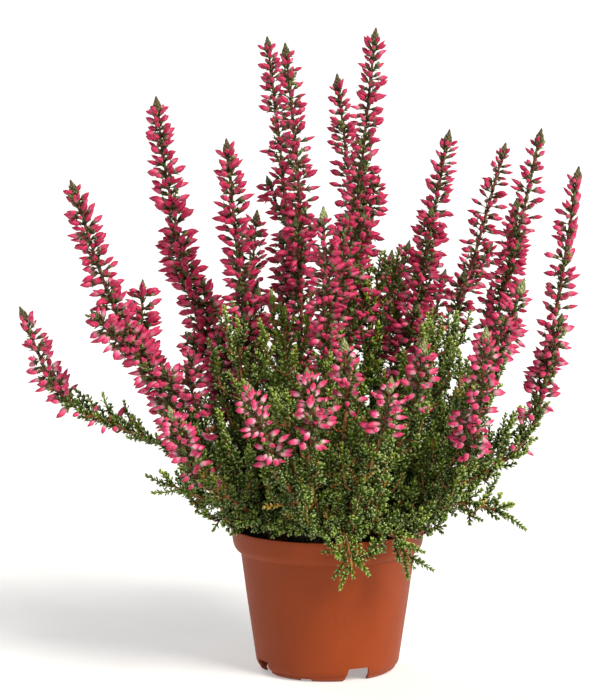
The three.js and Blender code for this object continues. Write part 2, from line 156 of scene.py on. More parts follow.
def turned(name: str, profile: Profile, sides: int, end: Cap = Cap.FLAT) -> bpy.types.Object:
    """Turns a profile round the Z axis: a ring is added, then extruded and scaled from point to point.

    Args:
        name: The object's name.
        profile: (radius, height) of each ring, in millimetres. The first ring is closed flat.
        sides: Vertices in a ring.
        end: How the last ring is closed.

    Returns:
        The new object, in object mode.
    """
    deselect_all()
    radius, height = profile[0]
    first, reach = mm(height), mm(radius) * 1.01  # just over the first ring's radius, to find it again
    bpy.ops.mesh.primitive_circle_add(vertices=sides, radius=mm(radius), location=(0, 0, first))
    piece = bpy.context.object
    piece.name = name
    apply_place(piece)
    with editing(piece):
        bpy.ops.mesh.select_all(action="SELECT")
        for next_radius, next_height in profile[1:]:
            bpy.ops.mesh.extrude_region_move(
                TRANSFORM_OT_translate={"value": (0, 0, mm(next_height - height))})
            share = next_radius / radius
            bpy.ops.transform.resize(value=(share, share, 1), center_override=(0, 0, mm(next_height)))
            radius, height = next_radius, next_height
        if end is Cap.POINT:
            bpy.ops.mesh.merge(type="CENTER")
        else:
            bpy.ops.mesh.edge_face_add()
        select_where(piece, lambda co: abs(co[2] - first) < SAME_HEIGHT
                     and math.hypot(co[0], co[1]) <= reach)
        bpy.ops.mesh.edge_face_add()
        bpy.ops.mesh.select_all(action="SELECT")
        bpy.ops.mesh.normals_make_consistent(inside=False)
    return piece


def apply_modifier(piece: bpy.types.Object, kind: str, **settings: object) -> None:
    """Adds a modifier with its settings to a piece and applies it.

    Args:
        piece: The mesh object.
        kind: The modifier's type.
        settings: Its properties by name.
    """
    activate(piece)
    modifier = piece.modifiers.new(kind.title(), kind)
    for key, value in settings.items():
        setattr(modifier, key, value)
    bpy.ops.object.modifier_apply(modifier=modifier.name)


def shade(piece: bpy.types.Object, angle: float) -> None:
    """Shades a piece smooth, with its edges over an angle in degrees left sharp."""
    activate(piece)
    bpy.ops.object.shade_smooth_by_angle(angle=math.radians(angle))


# ---------------------------------------------------------------- shapes that repeat


@dataclass
class Pattern:
    """A small shape that is modelled once and copied many times.

    Its own axis is Z, from its foot at the origin.
    """

    points: np.ndarray
    faces: list[tuple[int, ...]]
    look: np.ndarray

    @classmethod
    def lifted(cls, piece: bpy.types.Object,
               look: Callable[[np.ndarray], tuple[float, float, float]]) -> "Pattern":
        """Takes the shape off a modelled object, which is then removed.

        Args:
            piece: The modelled object.
            look: The look attribute at a place, in metres.

        Returns:
            The pattern.
        """
        mesh = piece.data
        points = np.array([v.co for v in mesh.vertices], float).reshape(-1, 3)
        faces = [tuple(f.vertices) for f in mesh.polygons]
        looks = np.array([look(p) for p in points], float)
        bpy.data.objects.remove(piece)
        bpy.data.meshes.remove(mesh)
        return cls(points, faces, looks)


@dataclass
class Heap:
    """Copies of patterns, each with its own faces, gathered into one piece."""

    points: list[np.ndarray] = field(default_factory=list)
    faces: list[tuple[int, ...]] = field(default_factory=list)
    look: list[np.ndarray] = field(default_factory=list)
    count: int = 0

    SHRINK = 0.8
    TRIES = 8

    def add(self, pattern: Pattern, points: np.ndarray, tint: float = 0.0,
            up: Optional[float] = None) -> None:
        """Adds one copy.

        Args:
            pattern: The shape.
            points: Where its points go, in metres.
            tint: Added to the third look number.
            up: The second look number, where it isn't the pattern's own.
        """
        look = pattern.look.copy()
        look[:, 2] += tint
        if up is not None:
            look[:, 1] = up
        self.points.append(points)
        self.look.append(look)
        self.faces.extend(tuple(n + self.count for n in face) for face in pattern.faces)
        self.count += len(points)

    def place(self, pattern: Pattern, foot: np.ndarray, axes: np.ndarray, size: np.ndarray,
              tint: float = 0.0, up: Optional[float] = None) -> None:
        """Adds one copy that stands on a point, shrunk where it would leave the frame's box.

        Args:
            pattern: The shape.
            foot: Where its foot stands, in metres.
            axes: Its X, Y and Z directions, one in each row.
            size: Its scale along them.
            tint: Added to the third look number.
            up: The second look number, where it isn't the pattern's own.
        """
        for _ in range(self.TRIES):
            points = foot + (pattern.points * size) @ axes
            if (points > BOX_LOW).all() and (points < BOX_HIGH).all():
                self.add(pattern, points, tint, up)
                return
            size = size * self.SHRINK

    def pattern(self) -> Pattern:
        """The whole heap as a pattern of its own."""
        return Pattern(np.concatenate(self.points), self.faces, np.concatenate(self.look))

    def piece(self, name: str) -> bpy.types.Object:
        """The heap as a smooth mesh object of this name, linked to the scene."""
        mesh = bpy.data.meshes.new(name)
        mesh.from_pydata(np.concatenate(self.points).tolist(), [], self.faces)
        looks = mesh.attributes.new(LOOK, "FLOAT_VECTOR", "POINT")
        looks.data.foreach_set("vector", np.concatenate(self.look).astype(np.float32).ravel())
        mesh.polygons.foreach_set("use_smooth", [True] * len(mesh.polygons))
        mesh.update()
        piece = bpy.data.objects.new(name, mesh)
        bpy.context.scene.collection.objects.link(piece)
        return piece


# The walls that copied shapes keep inside: a little within the frame's box, and above the floor.
BOX_MARGIN = mm(0.2)
BOX_LOW = np.array(CAD_BOX[0], float) + BOX_MARGIN
BOX_HIGH = np.array(CAD_BOX[1], float) - BOX_MARGIN
BOX_LOW[2] = mm(0.4)


def well_inside(point: np.ndarray, margin: float) -> bool:
    """Whether a point keeps a margin in millimetres to the walls of the frame's box."""
    return bool((point > BOX_LOW + mm(margin)).all() and (point < BOX_HIGH - mm(margin)).all())


def unit(vector: np.ndarray) -> np.ndarray:
    """The vector at length 1."""
    return vector / np.linalg.norm(vector)


def axes_along(direction: np.ndarray, turn: float, outward: np.ndarray = FIRST_SIDE) -> np.ndarray:
    """Three directions at right angles, the last of them along a given one.

    Args:
        direction: The Z direction.
        turn: How far the others are turned round it, in radians.
        outward: The X direction before the turn, as near as it can be.

    Returns:
        One direction in each row.
    """
    along = unit(direction)
    side = outward - along * (outward @ along)
    if np.linalg.norm(side) < 1e-6:
        side = np.array([1.0, 0.0, 0.0]) - along * along[0]
    side = unit(side)
    across = np.cross(along, side)
    first = side * math.cos(turn) + across * math.sin(turn)
    return np.array([first, np.cross(along, first), along])


class Route:
    """A smooth line through points, with a direction and a side direction all along it."""

    STEPS = 24

    def __init__(self, points: Sequence[Sequence[float]]) -> None:
        """Lays the line.

        Args:
            points: The points that it passes, in metres.
        """
        knots = [np.array(p, float) for p in points]
        knots = [2 * knots[0] - knots[1], *knots, 2 * knots[-1] - knots[-2]]
        line = [knots[1]]
        for a, b, c, d in zip(knots, knots[1:], knots[2:], knots[3:]):
            for step in range(1, self.STEPS + 1):
                t = step / self.STEPS
                line.append(0.5 * (2 * b + (c - a) * t + (2 * a - 5 * b + 4 * c - d) * t ** 2
                                   + (3 * b - a - 3 * c + d) * t ** 3))
        self.line = np.array(line)
        spans = np.linalg.norm(np.diff(self.line, axis=0), axis=1)
        self.marks = np.concatenate([[0.0], np.cumsum(spans)])
        self.length = float(self.marks[-1])
        ways = np.gradient(self.line, self.marks, axis=0)
        self.ways = ways / np.linalg.norm(ways, axis=1)[:, None]
        side = FIRST_SIDE
        sides = []
        for way in self.ways:
            side = unit(side - way * (side @ way))
            sides.append(side)
        self.sides = np.array(sides)

    def _read(self, rows: np.ndarray, distance: float) -> np.ndarray:
        """A row of numbers at a distance along the line, in metres."""
        return np.array([np.interp(distance, self.marks, rows[:, i]) for i in range(3)])

    def at(self, distance: float) -> np.ndarray:
        """The point at a distance along the line, in metres."""
        return self._read(self.line, distance)

    def axes(self, distance: float) -> np.ndarray:
        """The side, the across and the forward direction at a distance, one in each row."""
        return axes_along(self._read(self.ways, distance), 0.0, self._read(self.sides, distance))

    def out(self, distance: float, angle: float) -> np.ndarray:
        """The direction straight out of the line at an angle round it."""
        side, across, _ = self.axes(distance)
        return side * math.cos(angle) + across * math.sin(angle)

    def wrap(self, pattern: Pattern, start: float, end: float,
             radius: Callable[[float], float]) -> np.ndarray:
        """Bends a straight shape of length 1 and radius 1 to a stretch of the line.

        Args:
            pattern: The straight shape.
            start: Where its foot comes, in metres along the line.
            end: Where its top comes.
            radius: The radius in metres at a share of its length.

        Returns:
            The places of its points.
        """
        made = np.empty_like(pattern.points)
        heights = np.round(pattern.points[:, 2], 6)
        for height in np.unique(heights):
            rows = heights == height
            distance = blend_numbers(start, end, float(height))
            axes = self.axes(distance)
            flat = pattern.points[rows, :2] * radius(float(height))
            made[rows] = self.at(distance) + flat @ axes[:2]
        return made


# ---------------------------------------------------------------- finishes


def linear(hex_colour: str) -> tuple[float, float, float, float]:
    """An sRGB hex colour as linear RGBA."""
    levels = [int(hex_colour[i:i + 2], 16) / 255 for i in (1, 3, 5)]
    red, green, blue = (v / 12.92 if v <= 0.04045 else ((v + 0.055) / 1.055) ** 2.4 for v in levels)
    return red, green, blue, 1.0


def connect(tree: bpy.types.NodeTree, node: bpy.types.Node, inputs: dict) -> None:
    """Sets a node's inputs by name or number, each to a value or to another node's output."""
    for key, value in inputs.items():
        if isinstance(value, bpy.types.NodeSocket):
            tree.links.new(value, node.inputs[key])
        else:
            node.inputs[key].default_value = value


def add_node(tree: bpy.types.NodeTree, kind: str, inputs: dict, output: Union[int, str] = 0,
             stops: Sequence[tuple[float, str]] = (), **settings: object) -> bpy.types.NodeSocket:
    """Adds a node with its settings and its links.

    Args:
        tree: The node tree.
        kind: The node's type without the word ShaderNode.
        inputs: A value, or another node's output, for each socket by name or number.
        output: The output that is wanted, by name or number.
        stops: On a colour ramp, (place, sRGB hex colour), in order.
        settings: The node's properties by name.

    Returns:
        The output.
    """
    node = tree.nodes.new("ShaderNode" + kind)
    for key, value in settings.items():
        setattr(node, key, value)
    connect(tree, node, inputs)
    if stops:
        elements = node.color_ramp.elements
        for element, (place, colour) in zip(elements, (stops[0], stops[-1])):
            element.position = place
            element.color = linear(colour)
        for place, colour in stops[1:-1]:
            elements.new(place).color = linear(colour)
    return node.outputs[output]


Adder = Callable[..., bpy.types.NodeSocket]
# A Mix of two colours: its sockets 0, 6 and 7 are the share of the second, the first and the second.
COLOURS = {"output": 2, "data_type": "RGBA"}
# A Math that multiplies, adds and keeps the sum from 0 to 1.
SCALED = {"operation": "MULTIPLY_ADD", "use_clamp": True}


def grain(size: float) -> float:
    """The scale of a pattern whose blotches are a size in millimetres."""
    return 1 / mm(size)


def looks(add: Adder) -> tuple[bpy.types.NodeSocket, ...]:
    """The three look numbers that a copied shape carries."""
    source = add("Attribute", {}, "Vector", attribute_name=LOOK)
    return tuple(add("SeparateXYZ", {0: source}).node.outputs)


@dataclass(frozen=True)
class Finish:
    """What every finish has: its name and how its shader is set."""

    name: str
    slot: str
    roughness: float
    ior: float = 1.45

    def material(self) -> bpy.types.Material:
        """The material, made once."""
        made = bpy.data.materials.get(self.name)
        if made:
            return made
        made = bpy.data.materials.new(self.name)
        made.use_nodes = True
        tree = made.node_tree
        surface = {"Roughness": self.roughness, "IOR": self.ior, **self.paint(partial(add_node, tree))}
        connect(tree, tree.nodes["Principled BSDF"], surface)
        return made

    def paint(self, add: Adder) -> dict:
        """The shader's inputs that are this finish's own.

        Args:
            add: Adds a node to the material, as add_node does.

        Returns:
            A value or an output for each of the shader's inputs by name.
        """
        raise NotImplementedError

    def dress(self, piece: bpy.types.Object) -> None:
        """Gives a piece this finish."""
        piece.data.materials.clear()
        piece.data.materials.append(self.material())


@dataclass(frozen=True)
class MouldedPolypropylene(Finish):
    """Injection-moulded terracotta polypropylene: an even satin skin with faint flow clouds."""

    name: str = "moulded_polypropylene"
    slot: str = "pot_plastic"
    roughness: float = 0.52
    ior: float = 1.49
    body: str = "#8e3b12"
    cloud: str = "#88370f"
    dust: str = "#9a4a24"

    def paint(self, add: Adder) -> dict:
        """The even colour with faint clouds and dust, and a sheen that changes from place to place."""
        place = add("TexCoord", {}, "Object")
        # The skin's orange peel is finer than a pixel, so it is drawn at 0.9 mm.
        clouds, specks, sheen, peel = (
            add("TexNoise", {"Vector": place, "Scale": grain(size), "Detail": detail})
            for size, detail in ((26, 2), (1.4, 4), (5, 3), (0.9, 2)))
        colour = add("ValToRGB", {0: clouds}, stops=[(0.3, self.cloud), (0.7, self.body)])
        dusty = add("Math", {0: specks, 1: 0.5, 2: -0.21}, **SCALED)
        return {"Base Color": add("Mix", {0: dusty, 6: colour, 7: linear(self.dust)}, **COLOURS),
                "Roughness": add("Math", {0: sheen, 1: 0.16, 2: self.roughness - 0.08}, **SCALED),
                "Normal": add("Bump", {"Height": peel, "Distance": mm(0.03), "Strength": 1.0}),
                "Specular IOR Level": 0.2, "Subsurface Weight": 0.12,
                "Subsurface Radius": (1.0, 0.25, 0.1), "Subsurface Scale": mm(1.5)}


@dataclass(frozen=True)
class DampPeat(Finish):
    """Damp potting peat: near-black crumbs with brown fibres, quite matt."""

    name: str = "damp_peat"
    slot: str = "potting_soil"
    roughness: float = 0.95

    def paint(self, add: Adder) -> dict:
        """The crumbs' browns and their rough skin."""
        place = add("TexCoord", {}, "Object")
        crumb = add("TexNoise", {"Vector": place, "Scale": grain(2.2), "Detail": 5})
        rough = add("TexNoise", {"Vector": place, "Scale": grain(0.8), "Detail": 4})
        colour = add("ValToRGB", {0: crumb}, stops=[(0.3, "#150e09"), (0.52, "#2a1c12"),
                                                    (0.72, "#4a3522")])
        return {"Base Color": colour,
                "Normal": add("Bump", {"Height": rough, "Distance": mm(0.4), "Strength": 1.0})}


@dataclass(frozen=True)
class HeatherBark(Finish):
    """Young heather wood: thin red-brown bark, paler where it is ridged, with a dull shine."""

    name: str = "heather_bark"
    slot: str = "leafy_stem"
    roughness: float = 0.62

    def paint(self, add: Adder) -> dict:
        """The bark's browns and ridges, both drawn out along the stems."""
        place = add("TexCoord", {}, "Object")
        tall = add("Mapping", {"Vector": place, "Scale": (1, 1, 0.35)})
        taller = add("Mapping", {"Vector": place, "Scale": (1, 1, 0.3)})
        streaks = add("TexNoise", {"Vector": tall, "Scale": grain(1.6), "Detail": 4})
        ridges = add("TexNoise", {"Vector": taller, "Scale": grain(0.7), "Detail": 3})
        colour = add("ValToRGB", {0: streaks}, stops=[(0.34, "#53301a"), (0.5, "#865026"),
                                                      (0.68, "#b5783e")])
        return {"Base Color": colour,
                "Normal": add("Bump", {"Height": ridges, "Distance": mm(0.15), "Strength": 1.0})}


@dataclass(frozen=True)
class HeatherLeaf(Finish):
    """Scale leaves: waxy green with a painted highlight on their ends, fresher to the tip of each
    shoot, a few gone yellow.
    """

    name: str = "heather_leaf"
    slot: str = "leafy_stem"
    roughness: float = 0.33

    def paint(self, add: Adder) -> dict:
        """The leaves' greens: by the tint old or fresh, by the place up the shoot dark or young, with a
        painted highlight at each leaf's end.
        """
        along, up, tint = looks(add)
        old = add("ValToRGB", {0: tint}, stops=[(0.0, "#1d3205"), (0.45, "#425f0f"),
                                                (0.9, "#70891f"), (1.0, "#b8902e")])
        young = add("ValToRGB", {0: tint}, stops=[(0.0, "#3b590b"), (0.45, "#6f951f"),
                                                  (0.9, "#b4cd46"), (1.0, "#c7a548")])
        youth = add("Math", {0: up, 1: 0.75, 2: -0.08}, **SCALED)
        colour = add("Mix", {0: youth, 6: old, 7: young}, **COLOURS)
        # Painted highlight: the end of each leaf is mixed towards a pale yellow-green.
        end = add("ValToRGB", {0: along}, stops=[(0.6, "#000000"), (1.0, "#ffffff")])
        rim = add("Math", {0: end, 1: 0.85, 2: 0.0}, **SCALED)
        colour = add("Mix", {0: rim, 6: colour, 7: linear("#dbe6a4")}, **COLOURS)
        speckle = add("TexNoise", {"Vector": add("TexCoord", {}, "Object"), "Scale": grain(0.9),
                                   "Detail": 2})
        spots = add("Math", {0: speckle, 1: 0.9, 2: -0.3}, **SCALED)
        darker = add("Mix", {0: 0.6, 6: colour, 7: linear("#141f08")}, **COLOURS)
        return {"Base Color": add("Mix", {0: spots, 6: colour, 7: darker}, **COLOURS),
                "Specular IOR Level": 0.35}


@dataclass(frozen=True)
class BudSepal(Finish):
    """Papery coloured sepals: pale at the foot, crimson towards the closed point, with a painted
    highlight along their ridges.
    """

    name: str = "bud_sepal"
    slot: str = "flower_bud"
    roughness: float = 0.46

    def paint(self, add: Adder) -> dict:
        """The sepals' pinks from foot to point, with a painted highlight on their ridges, and darker
        veins.
        """
        along, ridge, tint = looks(add)
        deep = add("ValToRGB", {0: along}, stops=[(0.0, "#cb5a80"), (0.2, "#c4215a"), (0.65, "#ac0a3c"),
                                                  (0.88, "#760629"), (1.0, "#2e040e")])
        pale = add("ValToRGB", {0: along}, stops=[(0.0, "#f3efdf"), (0.3, "#f4b4c8"), (0.55, "#e4467f"),
                                                  (0.82, "#c0174b"), (1.0, "#540923")])
        colour = add("Mix", {0: tint, 6: deep, 7: pale}, **COLOURS)
        # Painted highlight: the sepals' ridges are mixed towards a light pink.
        painted_ridge_highlight = add("Math", {0: ridge, 1: 0.3, 2: 0.0}, **SCALED)
        colour = add("Mix", {0: painted_ridge_highlight, 6: colour, 7: linear("#f2668f")}, **COLOURS)
        veins = add("TexNoise", {"Vector": add("TexCoord", {}, "Object"), "Scale": grain(0.8),
                                 "Detail": 3})
        veined = add("Math", {0: veins, 1: 0.8, 2: -0.3}, **SCALED)
        darker = add("Mix", {0: 0.6, 6: colour, 7: linear("#7a0a28")}, **COLOURS)
        return {"Base Color": add("Mix", {0: veined, 6: colour, 7: darker}, **COLOURS),
                "Specular IOR Level": 0.3}


@dataclass(frozen=True)
class CalyxLeaf(Finish):
    """The small bracts and stalks that hold the buds: dull green-brown, darker on the stalk."""

    name: str = "calyx_leaf"
    slot: str = "green_tip"
    roughness: float = 0.6

    def paint(self, add: Adder) -> dict:
        """The bracts' greens, paler to their ends, and the stalk's bark."""
        along, stalk, tint = looks(add)
        green = add("ValToRGB", {0: tint}, stops=[(0.0, "#232410"), (0.5, "#3a4520"),
                                                  (0.85, "#586a2c"), (1.0, "#7f9148")])
        end = add("Math", {0: along, 1: 0.3, 2: 0.0}, **SCALED)
        colour = add("Mix", {0: end, 6: green, 7: linear("#8b9a52")}, **COLOURS)
        streaks = add("TexNoise", {"Vector": add("TexCoord", {}, "Object"), "Scale": grain(1.1),
                                   "Detail": 3})
        bark = add("ValToRGB", {0: streaks}, stops=[(0.35, "#4a2219"), (0.65, "#8a4632")])
        return {"Base Color": add("Mix", {0: stalk, 6: colour, 7: bark}, **COLOURS)}


@dataclass(frozen=True)
class TipScale(Finish):
    """The tight scales of a growing tip: olive with a red-brown flush, pale green on a young one."""

    name: str = "tip_scale"
    slot: str = "green_tip"
    roughness: float = 0.55

    def paint(self, add: Adder) -> dict:
        """The scales' olive, with a painted highlight towards their ends, and its flush."""
        along, _, tint = looks(add)
        olive = add("ValToRGB", {0: tint}, stops=[(0.0, "#2b2a13"), (0.5, "#484522"), (1.0, "#6e6c3d")])
        # Painted highlight: each scale is mixed towards a pale olive at its end.
        end = add("Math", {0: along, 1: 0.4, 2: 0.0}, **SCALED)
        colour = add("Mix", {0: end, 6: olive, 7: linear("#8d8c5a")}, **COLOURS)
        blotches = add("TexNoise", {"Vector": add("TexCoord", {}, "Object"), "Scale": grain(2.2),
                                    "Detail": 2})
        flush = add("Math", {0: blotches, 1: 1.4, 2: -0.5}, **SCALED)
        colour = add("Mix", {0: flush, 6: colour, 7: linear("#5a2e22")}, **COLOURS)
        # A tint above 1 is a young tip, low in front on the plant.
        youth = add("Math", {0: tint, 1: 1.0, 2: -0.9}, **SCALED)
        return {"Base Color": add("Mix", {0: youth, 6: colour, 7: linear("#a8b67c")}, **COLOURS)}


@dataclass(frozen=True)
class OpalAcrylic(Finish):
    """The lit table top: a matt white sheet, whose own light keeps the shadows on it pale."""

    name: str = "opal_acrylic"
    slot: str = ""
    roughness: float = 0.9
    glow: float = 0.34

    def paint(self, add: Adder) -> dict:
        """The sheet's faint clouds and its own light."""
        clouds = add("TexNoise", {"Vector": add("TexCoord", {}, "Object"), "Scale": grain(60),
                                  "Detail": 2})
        return {"Base Color": add("ValToRGB", {0: clouds}, stops=[(0.3, "#cfcfce"), (0.7, "#d6d6d5")]),
                "Emission Color": linear("#ffffff"), "Emission Strength": self.glow}


# ---------------------------------------------------------------- pot and soil


@dataclass
class Notch:
    """A cut in the foot ring, with the angles of its copies from the front towards +X."""

    height: float
    top_width: float
    bottom_width: float
    angles: tuple[float, ...]


@dataclass
class Pot:
    """The thin-walled nursery pot, in millimetres."""

    height: float = 78.0
    rim_radius: float = 52.5
    wall: float = 1.2
    shoulder_height: float = 64.5
    shoulder_radius: float = 47.3
    corner_height: float = 6.5
    corner_radius: float = 38.9
    foot_radius: float = 34.4
    foot_width: float = 1.4
    floor_underside: float = 8.6
    hub: float = 1.0
    sides: int = 128
    drain_radius: float = 2.8
    drain_ring: float = 26.0
    drain_count: int = 8
    drain_sides: int = 20
    drill_length: float = 6.0
    cutter_depth: float = 16.0
    cutter_below: float = 2.0
    notch_rounding: float = 0.5
    notches: tuple[Notch, ...] = (
        Notch(7.4, 11.7, 15.0, (25, 115, 205, 295)),
        Notch(1.4, 6.7, 6.7, (-20, 70, 160, 250)),
    )

    def profile(self) -> list[tuple[float, float]]:
        """The outline from the floor's underside, round the foot, up, over the rim and down inside."""
        rim, wall, shoulder = self.rim_radius, self.wall, self.shoulder_radius
        step, foot, corner = self.shoulder_height, self.foot_radius, self.corner_radius
        under, hollow = self.floor_underside, self.corner_radius - self.wall
        beneath = [
            (self.hub, under), (hollow - 0.1, under), (hollow - 0.5, self.corner_height - 1.2),
            (hollow - 1.6, self.corner_height - 3.2), (foot - self.foot_width + 0.3, 0.9),
            (foot - self.foot_width, 0.25), (foot - self.foot_width + 0.2, 0.05),
        ]
        outside = [
            (foot, 0.05), (foot + 0.3, 0.25), (foot + 2.4, 1.6),
            (corner - 2.0, 2.5), (corner - 0.9, 3.6), (corner - 0.25, 5.0),
            (corner, self.corner_height), (corner + 4.2, 35.0), (shoulder - 0.35, step - 1.2),
            (shoulder, step), (shoulder + 0.5, step + 0.35), (shoulder + 1.7, step + 1.1),
            (shoulder + 2.8, step + 2.4), (shoulder + 3.5, step + 3.8), (rim - 1.2, step + 5.6),
            (rim - 0.5, self.height - 3.2), (rim - 0.05, self.height - 0.7),
            (rim - 0.15, self.height - 0.15), (rim - 0.4, self.height),
        ]
        inside = [
            (rim - wall + 0.3, self.height), (rim - wall, self.height - 0.3),
            (rim - wall - 1.2, step + 6.2), (shoulder - wall + 2.8, step + 3.0),
            (shoulder - wall, step + 0.6), (hollow + 0.1, under + wall + 1.0),
            (hollow - 0.9, under + wall), (self.hub, under + wall),
        ]
        return beneath + outside + inside

    def cutter(self, notch: Notch, angle: float) -> bpy.types.Object:
        """The wedge that cuts one notch: a cube whose top is narrowed, turned to its place."""
        deselect_all()
        high = notch.height + self.cutter_below
        bpy.ops.mesh.primitive_cube_add(
            size=1, location=(0, mm(-self.foot_radius), mm(high / 2 - self.cutter_below)))
        piece = bpy.context.object
        piece.scale = (mm(notch.bottom_width), mm(self.cutter_depth), mm(high))
        apply_place(piece)
        with editing(piece):
            select_where(piece, lambda co: co[2] > 0)
            share = notch.top_width / notch.bottom_width
            bpy.ops.transform.resize(value=(share, 1, 1), center_override=(0, 0, mm(notch.height)))
            bpy.ops.mesh.select_mode(type="EDGE")
            bpy.ops.mesh.bevel(offset=mm(self.notch_rounding), segments=2, affect="EDGES")
        piece.rotation_euler[2] = math.radians(angle)
        apply_place(piece)
        return piece

    def drill(self, turn: float) -> bpy.types.Object:
        """The rod that cuts one drain hole."""
        deselect_all()
        ring = mm(self.drain_ring)
        bpy.ops.mesh.primitive_cylinder_add(
            vertices=self.drain_sides, radius=mm(self.drain_radius), depth=mm(self.drill_length),
            location=(ring * math.cos(turn), ring * math.sin(turn), mm(self.floor_underside)))
        return bpy.context.object

    def build(self) -> bpy.types.Object:
        """The finished pot on its axis, with its notches and drain holes cut."""
        piece = turned("nursery_pot", self.profile(), self.sides)
        cutters = [self.cutter(notch, angle) for notch in self.notches for angle in notch.angles]
        cutters += [self.drill(n * math.tau / self.drain_count) for n in range(self.drain_count)]
        for cutter in cutters:
            apply_modifier(piece, "BOOLEAN", object=cutter, operation="DIFFERENCE", solver="EXACT")
            bpy.data.objects.remove(cutter)
        piece.data.transform(Matrix.Translation(AXIS.tolist()))
        shade(piece, 30)
        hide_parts("pot")
        MouldedPolypropylene().dress(piece)
        return piece


@dataclass
class Soil:
    """The peat that fills the pot, in millimetres."""

    edge_radius: float = 49.6
    edge_top: float = 71.0
    top: float = 72.5
    floor: float = 10.1
    floor_radius: float = 37.4
    sides: int = 72
    top_rings: int = 16
    ring_step: float = 3.1
    lumps_from: float = 70.6
    lump_height: float = 0.55
    crumbs: int = 520
    seed: int = 71

    def surface(self) -> bpy.types.Object:
        """The block of peat, with its top raised into uneven crumbs."""
        rings = [(self.floor_radius, self.floor), (45.7, 65.1), (48.2, 67.9), (self.edge_radius, 70.4)]
        rings += [(self.edge_radius - 0.6 - self.ring_step * n, self.edge_top + min(n, 3) * 0.4)
                  for n in range(self.top_rings)]
        piece = turned("soil", rings, self.sides)
        for vertex in piece.data.vertices:
            x, y, z = vertex.co
            if z > mm(self.lumps_from):
                # Waves of about 20 mm, with finer ones of about 4 mm across them.
                lump = math.sin(x * 310 + 1) + math.cos(y * 270)
                lump += 0.5 * math.sin(x * 1270 + y * 900) * math.cos(y * 1430 - x * 500)
                vertex.co.z = z + mm(self.lump_height) * lump
        return piece

    def crumb_patterns(self) -> list[Pattern]:
        """Two crumbs and a fibre: small rough lumps, modelled once."""
        made = []
        for width, length in ((1.0, 0.8), (0.8, 1.1), (0.22, 3.2)):
            rings = [(0.4, -0.5), (1.0, -0.2), (0.85, 0.25), (0.3, 0.5)]
            piece = turned("crumb", [(r * width, z * length) for r, z in rings], 5)
            made.append(Pattern.lifted(piece, lambda p: (0.5, 0.5, 0.5)))
        return made

    def build(self) -> bpy.types.Object:
        """The finished soil on the pot's axis."""
        patterns = self.crumb_patterns()
        rng = random.Random(self.seed)
        block = Pattern.lifted(self.surface(), lambda p: (0.5, 0.5, 0.5))
        heap = Heap()
        heap.add(block, block.points + AXIS)
        for _ in range(self.crumbs):
            reach = mm(self.edge_radius - 2.5) * math.sqrt(rng.random())
            turn = rng.uniform(0, math.tau)
            foot = np.array([reach * math.cos(turn), reach * math.sin(turn), 0]) + AXIS
            foot[2] = mm(self.top + rng.uniform(-0.9, 0.5))
            tilt = np.array([rng.uniform(-1, 1), rng.uniform(-1, 1), rng.uniform(-0.4, 0.4)])
            size = np.full(3, rng.uniform(0.5, 1.3))
            heap.place(rng.choice(patterns), foot, axes_along(tilt, rng.uniform(0, 6)), size)
        piece = heap.piece("soil_peat")
        shade(piece, 40)
        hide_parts("soil")
        DampPeat().dress(piece)
        return piece


# ---------------------------------------------------------------- the plant's small shapes


